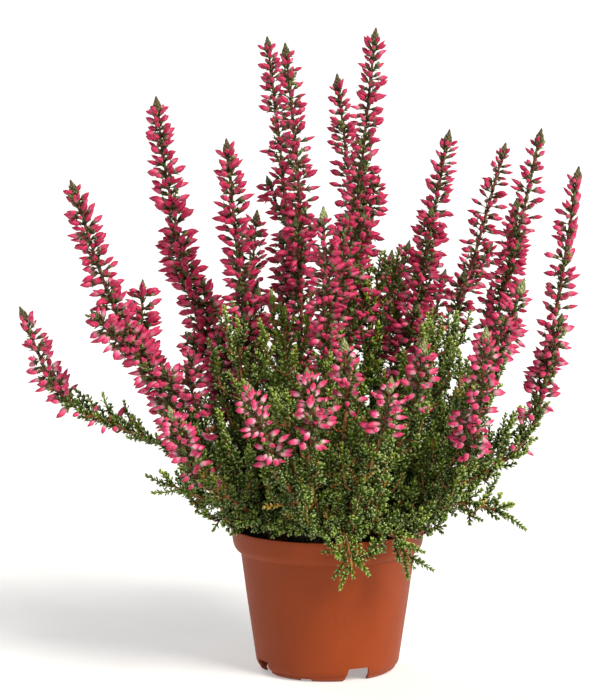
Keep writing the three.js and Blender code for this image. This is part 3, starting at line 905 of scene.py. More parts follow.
@dataclass
class Shapes:
    """The shapes that repeat over the plant, modelled once, in millimetres.

    The fold, the point's start, the sliver's keel, the swelling and the profiles are shares of a size,
    and leans are in degrees.
    """

    bud_length: float = 7.2
    bud_radius: float = 1.56
    bud_fold: float = 0.84
    bud_point_from: float = 0.68
    bud_sides: int = 8
    calyx_length: float = 2.1
    calyx_radius: float = 1.2
    leaf_length: float = 3.5
    leaf_width: float = 2.1
    leaf_keel: float = 0.7
    leaf_blunt: float = 0.4
    leaf_pitch: float = 1.6
    sliver_keel: float = 0.55
    rod_swelling: float = 1.12
    shoot_core: float = 0.6
    shoot_bow: Span = (0.06, 0.14)
    shoot_lean: Span = (46, 62)
    shoot_bare: float = 1.2
    shoot_lengths: tuple[float, ...] = (4.5, 6.5, 8.5, 10.5, 13.0, 16.0, 19.0)
    plain_spread: float = 1.35
    plain_growth: float = 1.15
    tip_length: float = 10.0
    tip_radius: float = 2.0
    tip_levels: int = 7
    tip_scales: int = 5
    tip_lean: Span = (17, -3)

    BUD_FORMS = ((1.0, 0.36, 0.72), (0.84, 0.3, 0.62), (1.12, 0.4, 0.8))
    TIP_PROFILE = ((0.6, 0.0), (0.95, 0.12), (1.0, 0.36), (0.84, 0.55), (0.5, 0.72), (0.33, 0.88),
                   (0.1, 0.985))
    SHOOT_SEED = 500
    TIP_SEED = 900

    def __post_init__(self) -> None:
        """Models them all."""
        self.stem = self.rod("stem", joints=24, sides=6)
        self.branch = self.rod("branch", joints=7, sides=4)
        self.core = self.rod("core", joints=2, sides=3)
        self.twig = self.rod("twig", joints=1, sides=3)
        self.buds = [self.bud(*form) for form in self.BUD_FORMS]
        self.calyx = self.calyx_cup()
        self.leaf = self.scale_leaf()
        self.sliver = self.plain_leaf()
        self.shoots, self.plain_shoots = (
            [self.shoot(length, seed, plain) for seed, length in enumerate(self.shoot_lengths)]
            for plain in (False, True))
        self.tips = [self.growing_tip(seed) for seed in range(3)]

    def rod(self, name: str, joints: int, sides: int) -> Pattern:
        """A straight rod of length 1 and radius 1, with each third joint slightly swollen.

        Args:
            name: The model's name.
            joints: The lengths between its rings.
            sides: Vertices in a ring.

        Returns:
            The pattern.
        """
        # A length of 1 is 1000 mm.
        rings = [(1000 * (self.rod_swelling if n % 3 == 0 else 1.0), n / joints * 1000)
                 for n in range(joints)]
        piece = turned(name, [*rings, (700, 1000)], sides)
        return Pattern.lifted(piece, lambda p: (0.0, 1.0, 0.5))

    def bud(self, width: float, belly: float, shoulder: float) -> Pattern:
        """A closed pointed bud of four folded sepals.

        Args:
            width: Its width as a share of the usual one.
            belly: The share of its length where it is widest.
            shoulder: The width, as a share of its widest, where the point begins.

        Returns:
            The pattern, its foot at the calyx.
        """
        def on_ridge(p: np.ndarray) -> bool:
            """Whether a place lies on a sepal's back and not in the fold beside it."""
            return round(math.atan2(p[0], p[1]) / (math.tau / self.bud_sides)) % 2 == 0

        long, wide = self.bud_length, self.bud_radius * width
        rings = [(0.55 * wide, 0.0), (wide, belly * long),
                 (shoulder * wide, self.bud_point_from * long), (0.1 * wide, long)]
        piece = turned("bud", rings, self.bud_sides, Cap.POINT)
        with editing(piece):
            # All but the point itself is drawn in along the folds.
            select_where(piece, lambda co: not on_ridge(co) and math.hypot(co[0], co[1]) > mm(0.12))
            bpy.ops.transform.resize(value=(self.bud_fold, self.bud_fold, 1), center_override=(0, 0, 0))
        return Pattern.lifted(piece, lambda p: (float(p[2]) / mm(long), float(on_ridge(p)), 0.0))

    def calyx_cup(self) -> Pattern:
        """A bud's short stalk widening into its cup of dark bracts, whose foot stands at the origin."""
        long, wide = self.calyx_length, self.calyx_radius
        piece = turned("calyx", [(0.3, -0.9 * long), (0.9 * wide, 0.25 * long), (wide, long)], 4)
        with editing(piece):
            # Every second corner of the brim is lowered between two bracts.
            select_where(piece, lambda co: co[2] > mm(0.9 * long)
                         and round(math.atan2(co[0], co[1]) / (math.tau / 4)) % 2 == 0)
            bpy.ops.transform.translate(value=(0, 0, mm(-0.4 * long)))
        return Pattern.lifted(piece, lambda p: (max(0.0, float(p[2])) / mm(long),
                                                0.8 if p[2] < 0 else 0.25, 0.0))

    def scale_leaf(self) -> Pattern:
        """One scale leaf on Z: widest past its middle, blunt, flat inside and keeled towards X."""
        long, blunt = mm(self.leaf_length), self.leaf_blunt
        deselect_all()
        bpy.ops.mesh.primitive_cone_add(vertices=3, radius1=1, radius2=0, depth=blunt * long)
        piece = bpy.context.object
        # The cone's foot is a triangle as wide as the root of 3 and 1.5 deep.
        piece.scale = (mm(self.leaf_width) / math.sqrt(3), mm(self.leaf_keel) / 1.5, 1)
        apply_place(piece)
        with editing(piece):
            select_where(piece, lambda co: co[2] < 0)
            bpy.ops.mesh.poke(offset=(1 - blunt) * long)
            bpy.ops.mesh.select_all(action="SELECT")
            bpy.ops.transform.rotate(value=math.pi / 2, orient_axis="Z", center_override=(0, 0, 0))
            bpy.ops.transform.translate(value=(0, 0, (1 - blunt / 2) * long))
        return self.keeled(piece)

    def plain_leaf(self) -> Pattern:
        """The simplest leaf, a slim pyramid on Z, for places that are hardly seen."""
        long = mm(self.leaf_length)
        deselect_all()
        bpy.ops.mesh.primitive_cone_add(vertices=3, radius1=mm(self.leaf_width) / math.sqrt(3),
                                        radius2=0, depth=long)
        piece = bpy.context.object
        with editing(piece):
            bpy.ops.transform.resize(value=(1, self.sliver_keel, 1), center_override=(0, 0, 0))
            bpy.ops.transform.translate(value=(0, 0, long / 2))
            bpy.ops.transform.rotate(value=math.pi / 2, orient_axis="Z", center_override=(0, 0, 0))
        return self.keeled(piece)

    def keeled(self, piece: bpy.types.Object) -> Pattern:
        """The pattern of a modelled leaf, with its keel turned towards +X."""
        leaf = Pattern.lifted(piece, lambda p: (float(p[2]) / mm(self.leaf_length), 0.0, 0.0))
        if leaf.points[np.argmax(np.abs(leaf.points[:, 0])), 0] < 0:
            leaf.points[:, :2] *= -1
        return leaf

    def add_scale(self, heap: Heap, foot: np.ndarray, along: np.ndarray, out: np.ndarray, lean: float,
                  size: np.ndarray, tint: float, up: float, plain: bool = False) -> None:
        """Adds one scale leaf that leans out of its shoot, keel outwards.

        Args:
            heap: Where it goes.
            foot: Where it stands, in metres.
            along: The shoot's direction.
            out: The direction straight out of the shoot.
            lean: How far it leans out, in degrees.
            size: Its scale along its keel, its width and its length.
            tint: Its tint.
            up: How far up its shoot it stands.
            plain: Whether it is the simplest leaf.
        """
        leaf = self.sliver if plain else self.leaf
        angle = math.radians(lean)
        direction = along * math.cos(angle) + out * math.sin(angle)
        keel = out * math.cos(angle) - along * math.sin(angle)
        points = foot + (leaf.points * size) @ axes_along(direction, 0.0, keel)
        heap.add(leaf, points, tint, up)

    def shoot(self, length: float, seed: int, plain: bool) -> Pattern:
        """A blunt leafy shoot: a slim core with four close rows of scale leaves.

        Args:
            length: Its length in millimetres.
            seed: Sets its bend and its leaves' scatter.
            plain: Whether it has fewer and simpler leaves.

        Returns:
            The pattern, along Z from its foot.
        """
        rng = random.Random(self.SHOOT_SEED + seed)
        bow = mm(length) * rng.uniform(*self.shoot_bow)
        route = Route([(0, 0, 0), (bow, 0, mm(length) * 0.5), (bow * 0.3, 0, mm(length))])
        heap = Heap()
        core = route.wrap(self.core, 0, route.length - mm(1.0),
                          lambda share: mm(self.shoot_core - 0.15 * share))
        heap.add(self.core, core, -0.4, 0.0)
        pitch = self.leaf_pitch * (self.plain_spread if plain else 1.0)
        levels = int((length - self.shoot_bare) / pitch)
        for level in range(levels):
            share = level / max(1, levels - 1)
            distance = mm(0.6 + level * pitch)
            # The leaves grow up to the third pair and are shorter and closer at the end.
            size = np.array([1.0, 1.0, 1.0 - 0.2 * share ** 3]) * (0.8 + 0.2 * min(1, level / 2))
            for side in (0.0, math.pi):
                turn = side + (level % 2) * math.pi / 2 + rng.uniform(-0.2, 0.2)
                lean = rng.uniform(*self.shoot_lean) * (1 - 0.6 * share ** 3)
                self.add_scale(heap, route.at(distance), route.axes(distance)[2],
                               route.out(distance, turn), lean,
                               size * (self.plain_growth if plain else 1.0),
                               rng.uniform(-0.1, 0.1), share, plain)
        return heap.pattern()

    def growing_tip(self, seed: int) -> Pattern:
        """The pointed ovoid of overlapping scales at the end of a spike, along Z from its foot."""
        rng = random.Random(self.TIP_SEED + seed)
        long, wide = self.tip_length, self.tip_radius
        core = turned("tip", [(wide * r, long * z) for r, z in self.TIP_PROFILE], 6, Cap.POINT)
        pattern = Pattern.lifted(core, lambda p: (0.0, float(p[2]) / mm(long), 0.0))
        heap = Heap()
        heap.add(pattern, pattern.points)
        radii, heights = zip(*self.TIP_PROFILE)
        for level in range(self.tip_levels):
            share = level / self.tip_levels
            radius = mm(wide) * float(np.interp(share, heights, radii))
            for n in range(self.tip_scales):
                turn = (n + 0.5 * (level % 2)) * math.tau / self.tip_scales + rng.uniform(-0.2, 0.2)
                out = np.array([math.cos(turn), math.sin(turn), 0.0])
                foot = np.array([0, 0, mm(share * (long - 2.2))]) + out * radius * 0.8
                size = np.array([1.3, 1.15, 1.0]) * (1.0 - 0.45 * share)
                self.add_scale(heap, foot, np.array([0, 0, 1.0]), out,
                               blend_numbers(*self.tip_lean, share), size, rng.uniform(0.1, 0.9),
                               share)
        return heap.pattern()


# ---------------------------------------------------------------- stems


class Bunch(Enum):
    """The four woody bases, by where they stand in the soil from the pot's axis, in millimetres."""

    LEFT = (-26.0, -4.0)
    RIGHT = (26.0, -2.0)
    FRONT = (2.0, -27.0)
    BACK = (2.0, 14.0)


@dataclass
class Stem:
    """One stem, in millimetres from the pot's axis.

    Attributes:
        name: Its name, empty on a stem without flowers.
        bunch: The woody base that it rises from.
        route: The points that its axis passes.
        bloom: The length of stem that bears buds.
        sides: Side spikes, each the share of the way up where it leaves and its tip.
        has_tip: Whether its growing tip is a node of its own.
        leafiness: The share of green shoots among the lowest buds.
        strays: How many single buds sit among the leaves below the others.
        fullness: How much larger and closer together its buds are than usual.
    """

    name: str
    bunch: Bunch
    route: tuple[Point, ...]
    bloom: float = 0.0
    sides: tuple[tuple[float, Point], ...] = ()
    has_tip: bool = True
    leafiness: float = 0.4
    strays: int = 0
    fullness: float = 1.0

    START = 74.5
    FAN = 0.085
    GAP = 1.1
    SIDE_BEND = 0.45
    SIDE_BOW = 0.15

    def __post_init__(self) -> None:
        """Lays its route and divides it."""
        x, y = self.bunch.value
        near_x, near_y, _ = self.route[0]
        start = (x + self.FAN * (near_x - x), y + self.FAN * (near_y - y), self.START)
        self.path = Route([placed(p) for p in (start, *self.route)])
        self.spike_from = self.path.length - mm(self.bloom)
        self.leafy_to = self.spike_from - mm(self.GAP) if self.bloom else self.path.length

    def side_path(self, at: float, tip: Point) -> Route:
        """The way of a side spike: out of its stem, then up to its own tip."""
        start = self.path.at(at * self.path.length)
        end = placed(tip)
        bend = start + (end - start) * self.SIDE_BEND
        bend[:2] += (end - start)[:2] * self.SIDE_BOW
        return Route([start, bend, end])


FLOWERING = (
    Stem("low_left", Bunch.LEFT, ((-57, -10, 111), (-106, -16, 132), (-142, -22, 153),
                                  (-163, -24, 200)), 63, strays=8),
    Stem("left", Bunch.LEFT, ((-64, -16, 119), (-90, -28, 158), (-113, -38, 203), (-134, -44, 268)),
         144, ((0.55, (-98, -20, 214)), (0.3, (-73, -28, 178))), fullness=1.12),
    Stem("low_left_front", Bunch.LEFT, ((-51, -44, 100), (-69, -58, 114), (-83, -64, 153)), 45,
         strays=3),
    Stem("upper_left", Bunch.LEFT, ((-51, 4, 130), (-70, 16, 187), (-87, 26, 263), (-93, 28, 309)),
         165, ((0.27, (-58, -8, 186)),), strays=9, fullness=1.16),
    Stem("inner_left", Bunch.BACK, ((-35, -4, 126), (-46, -10, 207), (-54, -12, 288)), 133,
         fullness=1.12),
    Stem("top_left_back", Bunch.BACK, ((-19, 26, 143), (-23, 34, 249), (-33, 40, 341)), 181),
    Stem("top_left", Bunch.BACK, ((-13, 6, 146), (-15, 2, 251), (-23, 4, 338)), 179),
    Stem("short_left_back", Bunch.BACK, ((-31, 58, 138), (-41, 74, 201), (-39, 78, 244)), 59),
    Stem("top_right_back", Bunch.BACK, ((9, 22, 144), (13, 28, 239), (5, 34, 321)), 160,
         leafiness=0.9),
    Stem("top_right", Bunch.BACK, ((10, 2, 147), (15, -6, 241), (25, -10, 346)), 187,
         ((0.6, (27, 2, 268)),), leafiness=1.0),
    Stem("middle", Bunch.FRONT, ((-1, -46, 142), (-2, -54, 206), (-3, -54, 255)), 85,
         ((0.6, (9, -50, 252)),)),
    Stem("right", Bunch.RIGHT, ((35, 2, 135), (51, 4, 217), (65, 6, 292)), 149,
         ((0.55, (55, -8, 252)),)),
    Stem("short_right_back", Bunch.BACK, ((25, 54, 128), (33, 78, 181), (37, 84, 221)), 48,
         ((0.78, (47, 88, 226)),)),
    Stem("far_right_back", Bunch.BACK, ((41, 60, 121), (58, 88, 169), (68, 96, 209)), 45),
    Stem("outer_right_back", Bunch.RIGHT, ((53, 22, 132), (77, 38, 208), (98, 46, 283)), 107,
         fullness=0.9),
    Stem("outer_right", Bunch.RIGHT, ((65, -12, 132), (90, -24, 198), (111, -30, 294)), 139,
         ((0.58, (98, -36, 258)),), leafiness=0.6, fullness=0.9),
    Stem("low_right", Bunch.RIGHT, ((66, -44, 123), (86, -60, 173), (100, -66, 219)), 48),
    Stem("far_right", Bunch.RIGHT, ((65, -14, 99), (106, -20, 130), (120, -24, 198),
                                    (131, -26, 274)), 144, leafiness=0.7, strays=4, fullness=0.98),
    Stem("front_left", Bunch.FRONT, ((-20, -68, 109), (-33, -94, 142), (-42, -104, 171)), 53),
    Stem("front_middle", Bunch.FRONT, ((-10, -70, 115), (-9, -96, 150), (-12, -106, 180)), 51),
    Stem("front_centre", Bunch.FRONT, ((5, -58, 118), (9, -80, 158), (7, -86, 191)), 40),
    Stem("front_low_right", Bunch.FRONT, ((17, -66, 114), (27, -92, 144), (31, -100, 173)), 35),
    Stem("front_right", Bunch.FRONT, ((32, -52, 122), (44, -74, 157), (48, -82, 190)), 43),
    Stem("low_right_front", Bunch.RIGHT, ((66, -52, 112), (76, -78, 147), (79, -90, 197)), 80),
    Stem("back_low_left", Bunch.LEFT, ((-58, 20, 104), (-88, 42, 134), (-100, 50, 178)), 60,
         has_tip=False),
    Stem("back_left", Bunch.BACK, ((-34, 62, 112), (-58, 96, 146), (-66, 106, 192)), 62,
         has_tip=False),
    Stem("back_middle", Bunch.BACK, ((6, 64, 112), (8, 100, 150), (6, 112, 204)), 70, has_tip=False),
    Stem("back_low_middle", Bunch.BACK, ((-8, 74, 98), (-16, 106, 112), (-18, 118, 148)), 45,
         has_tip=False),
    Stem("back_low_right", Bunch.BACK, ((32, 74, 98), (48, 106, 118), (56, 116, 156)), 52,
         has_tip=False),
    Stem("back_right", Bunch.RIGHT, ((56, 34, 108), (84, 62, 146), (94, 74, 190)), 66,
         has_tip=False),
)

LEAFY = tuple(Stem("", bunch, route) for bunch, route in (
    (Bunch.LEFT, ((-42, -24, 124), (-47, -32, 180))),
    (Bunch.FRONT, ((-16, -44, 128), (-24, -34, 190))),
    (Bunch.BACK, ((19, 12, 146), (27, 12, 212))),
    (Bunch.RIGHT, ((46, -22, 128), (56, -34, 182))),
    (Bunch.FRONT, ((-12, -62, 116), (-24, -82, 150))),
    (Bunch.FRONT, ((4, -46, 88), (9, -60, 82), (12, -66, 68))),
    (Bunch.FRONT, ((22, -44, 89), (34, -55, 82), (42, -59, 71))),
    (Bunch.RIGHT, ((52, -22, 90), (74, -34, 96), (92, -42, 92))),
    (Bunch.RIGHT, ((60, 12, 94), (84, 22, 108), (100, 26, 128))),
    (Bunch.LEFT, ((-50, -16, 92), (-68, -26, 98), (-84, -32, 106))),
    (Bunch.LEFT, ((-52, 22, 92), (-72, 38, 106), (-84, 46, 122))),
    (Bunch.BACK, ((-16, 52, 94), (-36, 76, 104), (-46, 88, 112))),
    (Bunch.BACK, ((22, 52, 94), (30, 80, 104), (28, 92, 116))),
))


# ---------------------------------------------------------------- leafy bunches


@dataclass
class LeafyBunch:
    """One woody base with its stems, side branches and leafy shoots, in millimetres.

    A Span gives a size at the foot and at the end of a stem, or the least and the most of a random one.
    """

    bunch: Bunch
    stems: list[Stem]
    shapes: Shapes
    stems_in_piece: int = 3
    # The wood's radii.
    flowering_wood: Span = (1.5, 1.1)
    leafy_wood: Span = (1.1, 0.65)
    branch_wood: Span = (0.68, 0.42)
    # The shoots' lengths, and the distances between them.
    stem_shoots: Span = (12.5, 15.5)
    outer_shoots: Span = (9.0, 10.5)
    branch_shoots: Span = (10.0, 8.0)
    skirt_shoots: Span = (9.5, 9.0)
    shortest_shoot: float = 3.0
    bare: float = 4.0
    shoot_pitch: float = 3.0
    skirt_pitch: float = 2.4
    branch_crowding: float = 0.85
    outer_spread: float = 1.5
    # How a shoot stands: degrees, shares of its size, and the cosine past which it faces outwards.
    shoot_rise: Span = (46, 66)
    shoot_scatter: Span = (0.72, 1.2)
    shoot_width: Span = (0.9, 1.1)
    shoot_lift: float = 0.2
    barer_side: float = 0.5
    barer_turn: float = 1.2
    # Side branches, and the low ones that make the skirt over the rim.
    branch_pitch: float = 7.3
    branch_length: Span = (32, 20)
    branch_margin: float = 4.0
    rim_spots: int = 84
    front_crowding: float = 0.4
    skirt_reach: Span = (42, 61)
    skirt_height: Span = (82, 88)
    # Where the bush is dense, and where its stems come out of it.
    inner_radius: float = 43.0
    inner_height: float = 200.0
    outer_radius: float = 60.0
    outer_fade: float = 35.0
    outer_shortening: float = 0.62
    # How fresh the green is, from 0 to 1, and how many shoots are withered.
    freshness: Span = (0.3, 0.65)
    outer_dullness: float = 0.2
    tint_scatter: Span = (-0.4, 0.32)
    freshest: float = 0.8
    withered_share: float = 0.008
    withered_in_front: float = 0.05
    front_height: float = 112.0
    front_depth: float = -40.0
    # What a shoot keeps clear of: distances from the pot's axis and heights.
    clear_of_rim: float = 54.5
    inside_rim: float = 48.5
    over_rim: float = 80.0
    over_soil: float = 75.0

    WITHERED = 1.05  # the tint that the leaf's finish shows as yellow
    CROWN = ((7.0, 56), (7.0, 68), (6.6, 72), (6.0, 75), (4.6, 77))

    def __post_init__(self) -> None:
        """Sets its random row and its heaps."""
        self.rng = random.Random(sum(map(ord, self.bunch.name)))
        self.wood = Heap()
        self.leaves = Heap()

    def add_wood(self, pattern: Pattern, route: Route, end: float, radii: Span) -> None:
        """A length of wood from a route's start, that tapers between two radii in millimetres."""
        points = route.wrap(pattern, 0, end, lambda share: mm(blend_numbers(*radii, share)))
        self.wood.add(pattern, points)

    def add_shoot(self, foot: np.ndarray, direction: np.ndarray, length: float, fresh: float) -> None:
        """One leafy shoot of the nearest modelled length.

        Args:
            foot: Where it leaves its stem, in metres.
            direction: Where it points.
            length: Its length in millimetres.
            fresh: How fresh its green is, from 0 to 1.
        """
        lengths = self.shapes.shoot_lengths
        index = min(range(len(lengths)), key=lambda i: abs(lengths[i] - length))
        size = np.full(3, length / lengths[index])
        thinnest, thickest = self.shoot_width
        size[:2] = max(thinnest, min(thickest, size[0]))
        tint = min(self.freshest, max(0.0, fresh + self.rng.uniform(*self.tint_scatter)))
        low_front = foot[2] < mm(self.front_height) and foot[1] < mm(self.front_depth)
        if self.rng.random() < (self.withered_in_front if low_front else self.withered_share):
            tint = self.WITHERED
        x, y, z = foot - AXIS
        inner = math.hypot(x, y) < mm(self.inner_radius) and z < mm(self.inner_height)
        shoots = self.shapes.plain_shoots if inner else self.shapes.shoots
        self.leaves.place(shoots[index], foot,
                          axes_along(direction, self.rng.uniform(0, math.tau)), size, tint)

    def clear_of_pot(self, point: np.ndarray) -> bool:
        """Whether a point stands above the soil and clear of the pot's rim."""
        x, y, z = point - AXIS
        reach = math.hypot(x, y)
        if reach > mm(self.clear_of_rim):
            return True
        return z > mm(self.over_rim if reach > mm(self.inside_rim) else self.over_soil)

    def clothe(self, route: Route, start: float, end: float, pitch: float, lengths: Span) -> None:
        """Sets leafy shoots all along a stretch of a route.

        Args:
            route: The stem's line.
            start: Where the leaves begin, in metres along it.
            end: Where they stop.
            pitch: The distance between shoots in millimetres.
            lengths: The shoots' lengths in millimetres, at the start and at the end.
        """
        count = max(1, int((end - start) / mm(pitch)))
        turn = self.rng.uniform(0, math.tau)
        for n in range(count):
            share = (n + self.rng.uniform(0.2, 0.8)) / count
            distance = blend_numbers(start, end, share)
            turn += NEXT_TURN + self.rng.uniform(-0.3, 0.3)
            rise = math.radians(self.rng.uniform(*self.shoot_rise))
            along = route.axes(distance)[2]
            out = route.out(distance, turn)
            # The side that faces outwards stays barer, so the wood shows between rows of shoots.
            foot = route.at(distance)
            outwards = unit((foot - AXIS) * (1, 1, 0.2))
            if out @ outwards > self.barer_side:
                turn += math.copysign(self.barer_turn, self.rng.random() - 0.5)
                out = route.out(distance, turn)
            direction = out * math.cos(rise) + along * math.sin(rise)
            direction[2] += self.shoot_lift
            long = blend_numbers(*lengths, share) * self.rng.uniform(*self.shoot_scatter)
            while long > self.shortest_shoot and not (
                    self.clear_of_pot(foot + unit(direction) * mm(long)) and self.clear_of_pot(foot)):
                long *= 0.8
            if long > self.shortest_shoot:
                dull = self.outer_dullness * self.outness(route, distance)
                self.add_shoot(foot, direction, long, blend_numbers(*self.freshness, share) - dull)

    def end_shoot(self, route: Route, length: float, fresh: float) -> None:
        """The shoot that ends a branch, in line with it."""
        self.add_shoot(route.at(route.length - mm(1)), route.axes(route.length)[2], length, fresh)

    def branch(self, route: Route, distance: float, length: float, turn: float) -> None:
        """A side branch that leaves a stem, curves up and bears shoots.

        Args:
            route: The stem's line.
            distance: Where it leaves, in metres along it.
            length: Its length in millimetres.
            turn: The angle round the stem.
        """
        along = route.axes(distance)[2]
        out = route.out(distance, turn)
        start = route.at(distance)
        first = unit(out * 0.85 + along * 0.6)
        long = mm(length)
        middle = start + first * long * 0.5
        end = start + first * long * 0.72 + np.array([0, 0, 0.5 * long]) + along * long * 0.15
        if not (self.clear_of_pot(middle) and self.clear_of_pot(end)
                and well_inside(end, self.branch_margin)):
            return
        way = Route([start, middle, end])
        self.add_wood(self.shapes.branch, way, way.length, self.branch_wood)
        self.clothe(way, mm(3), way.length - mm(1), self.shoot_pitch * self.branch_crowding,
                    self.branch_shoots)
        self.end_shoot(way, 10.5, self.freshness[1])

    def outness(self, route: Route, distance: float) -> float:
        """How far out a place on a stem lies: 0 over the pot, 1 well clear of the mound."""
        x, y, _ = route.at(distance) - AXIS
        return clamped((math.hypot(x, y) - mm(self.outer_radius)) / mm(self.outer_fade))

    def grow(self, stem: Stem) -> None:
        """One stem with its branches and shoots."""
        path, top = stem.path, stem.leafy_to
        self.add_wood(self.shapes.stem, path, top,
                      self.flowering_wood if stem.bloom else self.leafy_wood)
        self.clothe(path, mm(self.bare), top, self.shoot_pitch, self.stem_shoots)
        outer = next((d for d in np.arange(0, top, mm(5)) if self.outness(path, d) > 0), top)
        self.clothe(path, outer, top, self.shoot_pitch * self.outer_spread, self.outer_shoots)
        if not stem.bloom:
            self.end_shoot(path, 16 if path.axes(top)[2][2] > 0 else 8, self.freshness[1])
        distance = mm(self.bare + 4)
        turn = self.rng.uniform(0, math.tau)
        while distance < top - mm(6):
            turn += NEXT_TURN
            length = blend_numbers(*self.branch_length, distance / top) * self.rng.uniform(0.8, 1.15)
            length *= 1 - self.outer_shortening * self.outness(path, distance)
            self.branch(path, distance, length, turn)
            distance += mm(self.branch_pitch) * self.rng.uniform(0.8, 1.2)

    def skirt(self, stems: Sequence[Stem]) -> None:
        """Low branches that lie out over the rim, each from the stem that leans most its way.

        Args:
            stems: All stems of the plant, of which this bunch bears those of its own.
        """
        low = mm(30)
        leans = [stem.path.at(low) - stem.path.at(0) for stem in stems]
        for spot in range(self.rim_spots):
            place = (spot + self.rng.uniform(-0.3, 0.3)) * math.tau / self.rim_spots - math.pi
            # The spots stand closer together in front, where the light makes more shoots.
            angle = place - self.front_crowding * math.sin(place)
            out = np.array([math.sin(angle), -math.cos(angle), 0.0])
            nearest = max(range(len(stems)), key=lambda n: leans[n] @ out)
            reach = self.rng.uniform(*self.skirt_reach)
            height = self.rng.uniform(*self.skirt_height) + max(0.0, reach - 50) * 0.6
            if stems[nearest].bunch is not self.bunch:
                continue
            start = stems[nearest].path.at(mm(self.rng.uniform(6, 18)))
            end = AXIS + out * mm(reach) + np.array([0, 0, mm(height)])
            middle = (start + end) / 2 + np.array([0, 0, mm(self.rng.uniform(2, 7))])
            way = Route([start, middle, end])
            self.add_wood(self.shapes.branch, way, way.length, self.branch_wood)
            self.clothe(way, mm(2), way.length, self.skirt_pitch, self.skirt_shoots)
            self.end_shoot(way, 8.0, 0.5)

    def crown(self) -> None:
        """The woody base: a gnarled stump between the soil and the stems."""
        pattern = Pattern.lifted(turned("crown", self.CROWN, 12), lambda p: (0.0, 1.0, 0.5))
        swell = 1 + 0.07 * np.sin(np.arctan2(pattern.points[:, 1], pattern.points[:, 0]) * 3)
        points = pattern.points.copy()
        points[:, :2] *= swell[:, None]
        self.wood.add(pattern, points + placed((*self.bunch.value, 0)))

    def spray_piece(self, name: str) -> bpy.types.Object:
        """The leaves gathered so far as one piece, and an empty heap for the next."""
        piece = self.leaves.piece(name)
        HeatherLeaf().dress(piece)
        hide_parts("leafy_stems_" + self.bunch.name.lower())
        self.leaves = Heap()
        return piece

    def build(self) -> list[bpy.types.Object]:
        """The bunch's pieces: its wood, and its leaves in pieces of a few stems each."""
        side = self.bunch.name.lower()
        self.crown()
        self.skirt((*FLOWERING, *LEAFY))
        pieces = [self.spray_piece(f"leaf_sprays_{side}_rim")]
        for n, stem in enumerate(self.stems, 1):
            self.grow(stem)
            if n == len(self.stems) or n % self.stems_in_piece == 0:
                pieces.append(self.spray_piece(f"leaf_sprays_{side}_{len(pieces)}"))
        wood = self.wood.piece("woody_stems_" + side)
        shade(wood, 50)
        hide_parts("leafy_stems_" + side)
        HeatherBark().dress(wood)
        return [wood, *pieces]


# ---------------------------------------------------------------- flower spikes


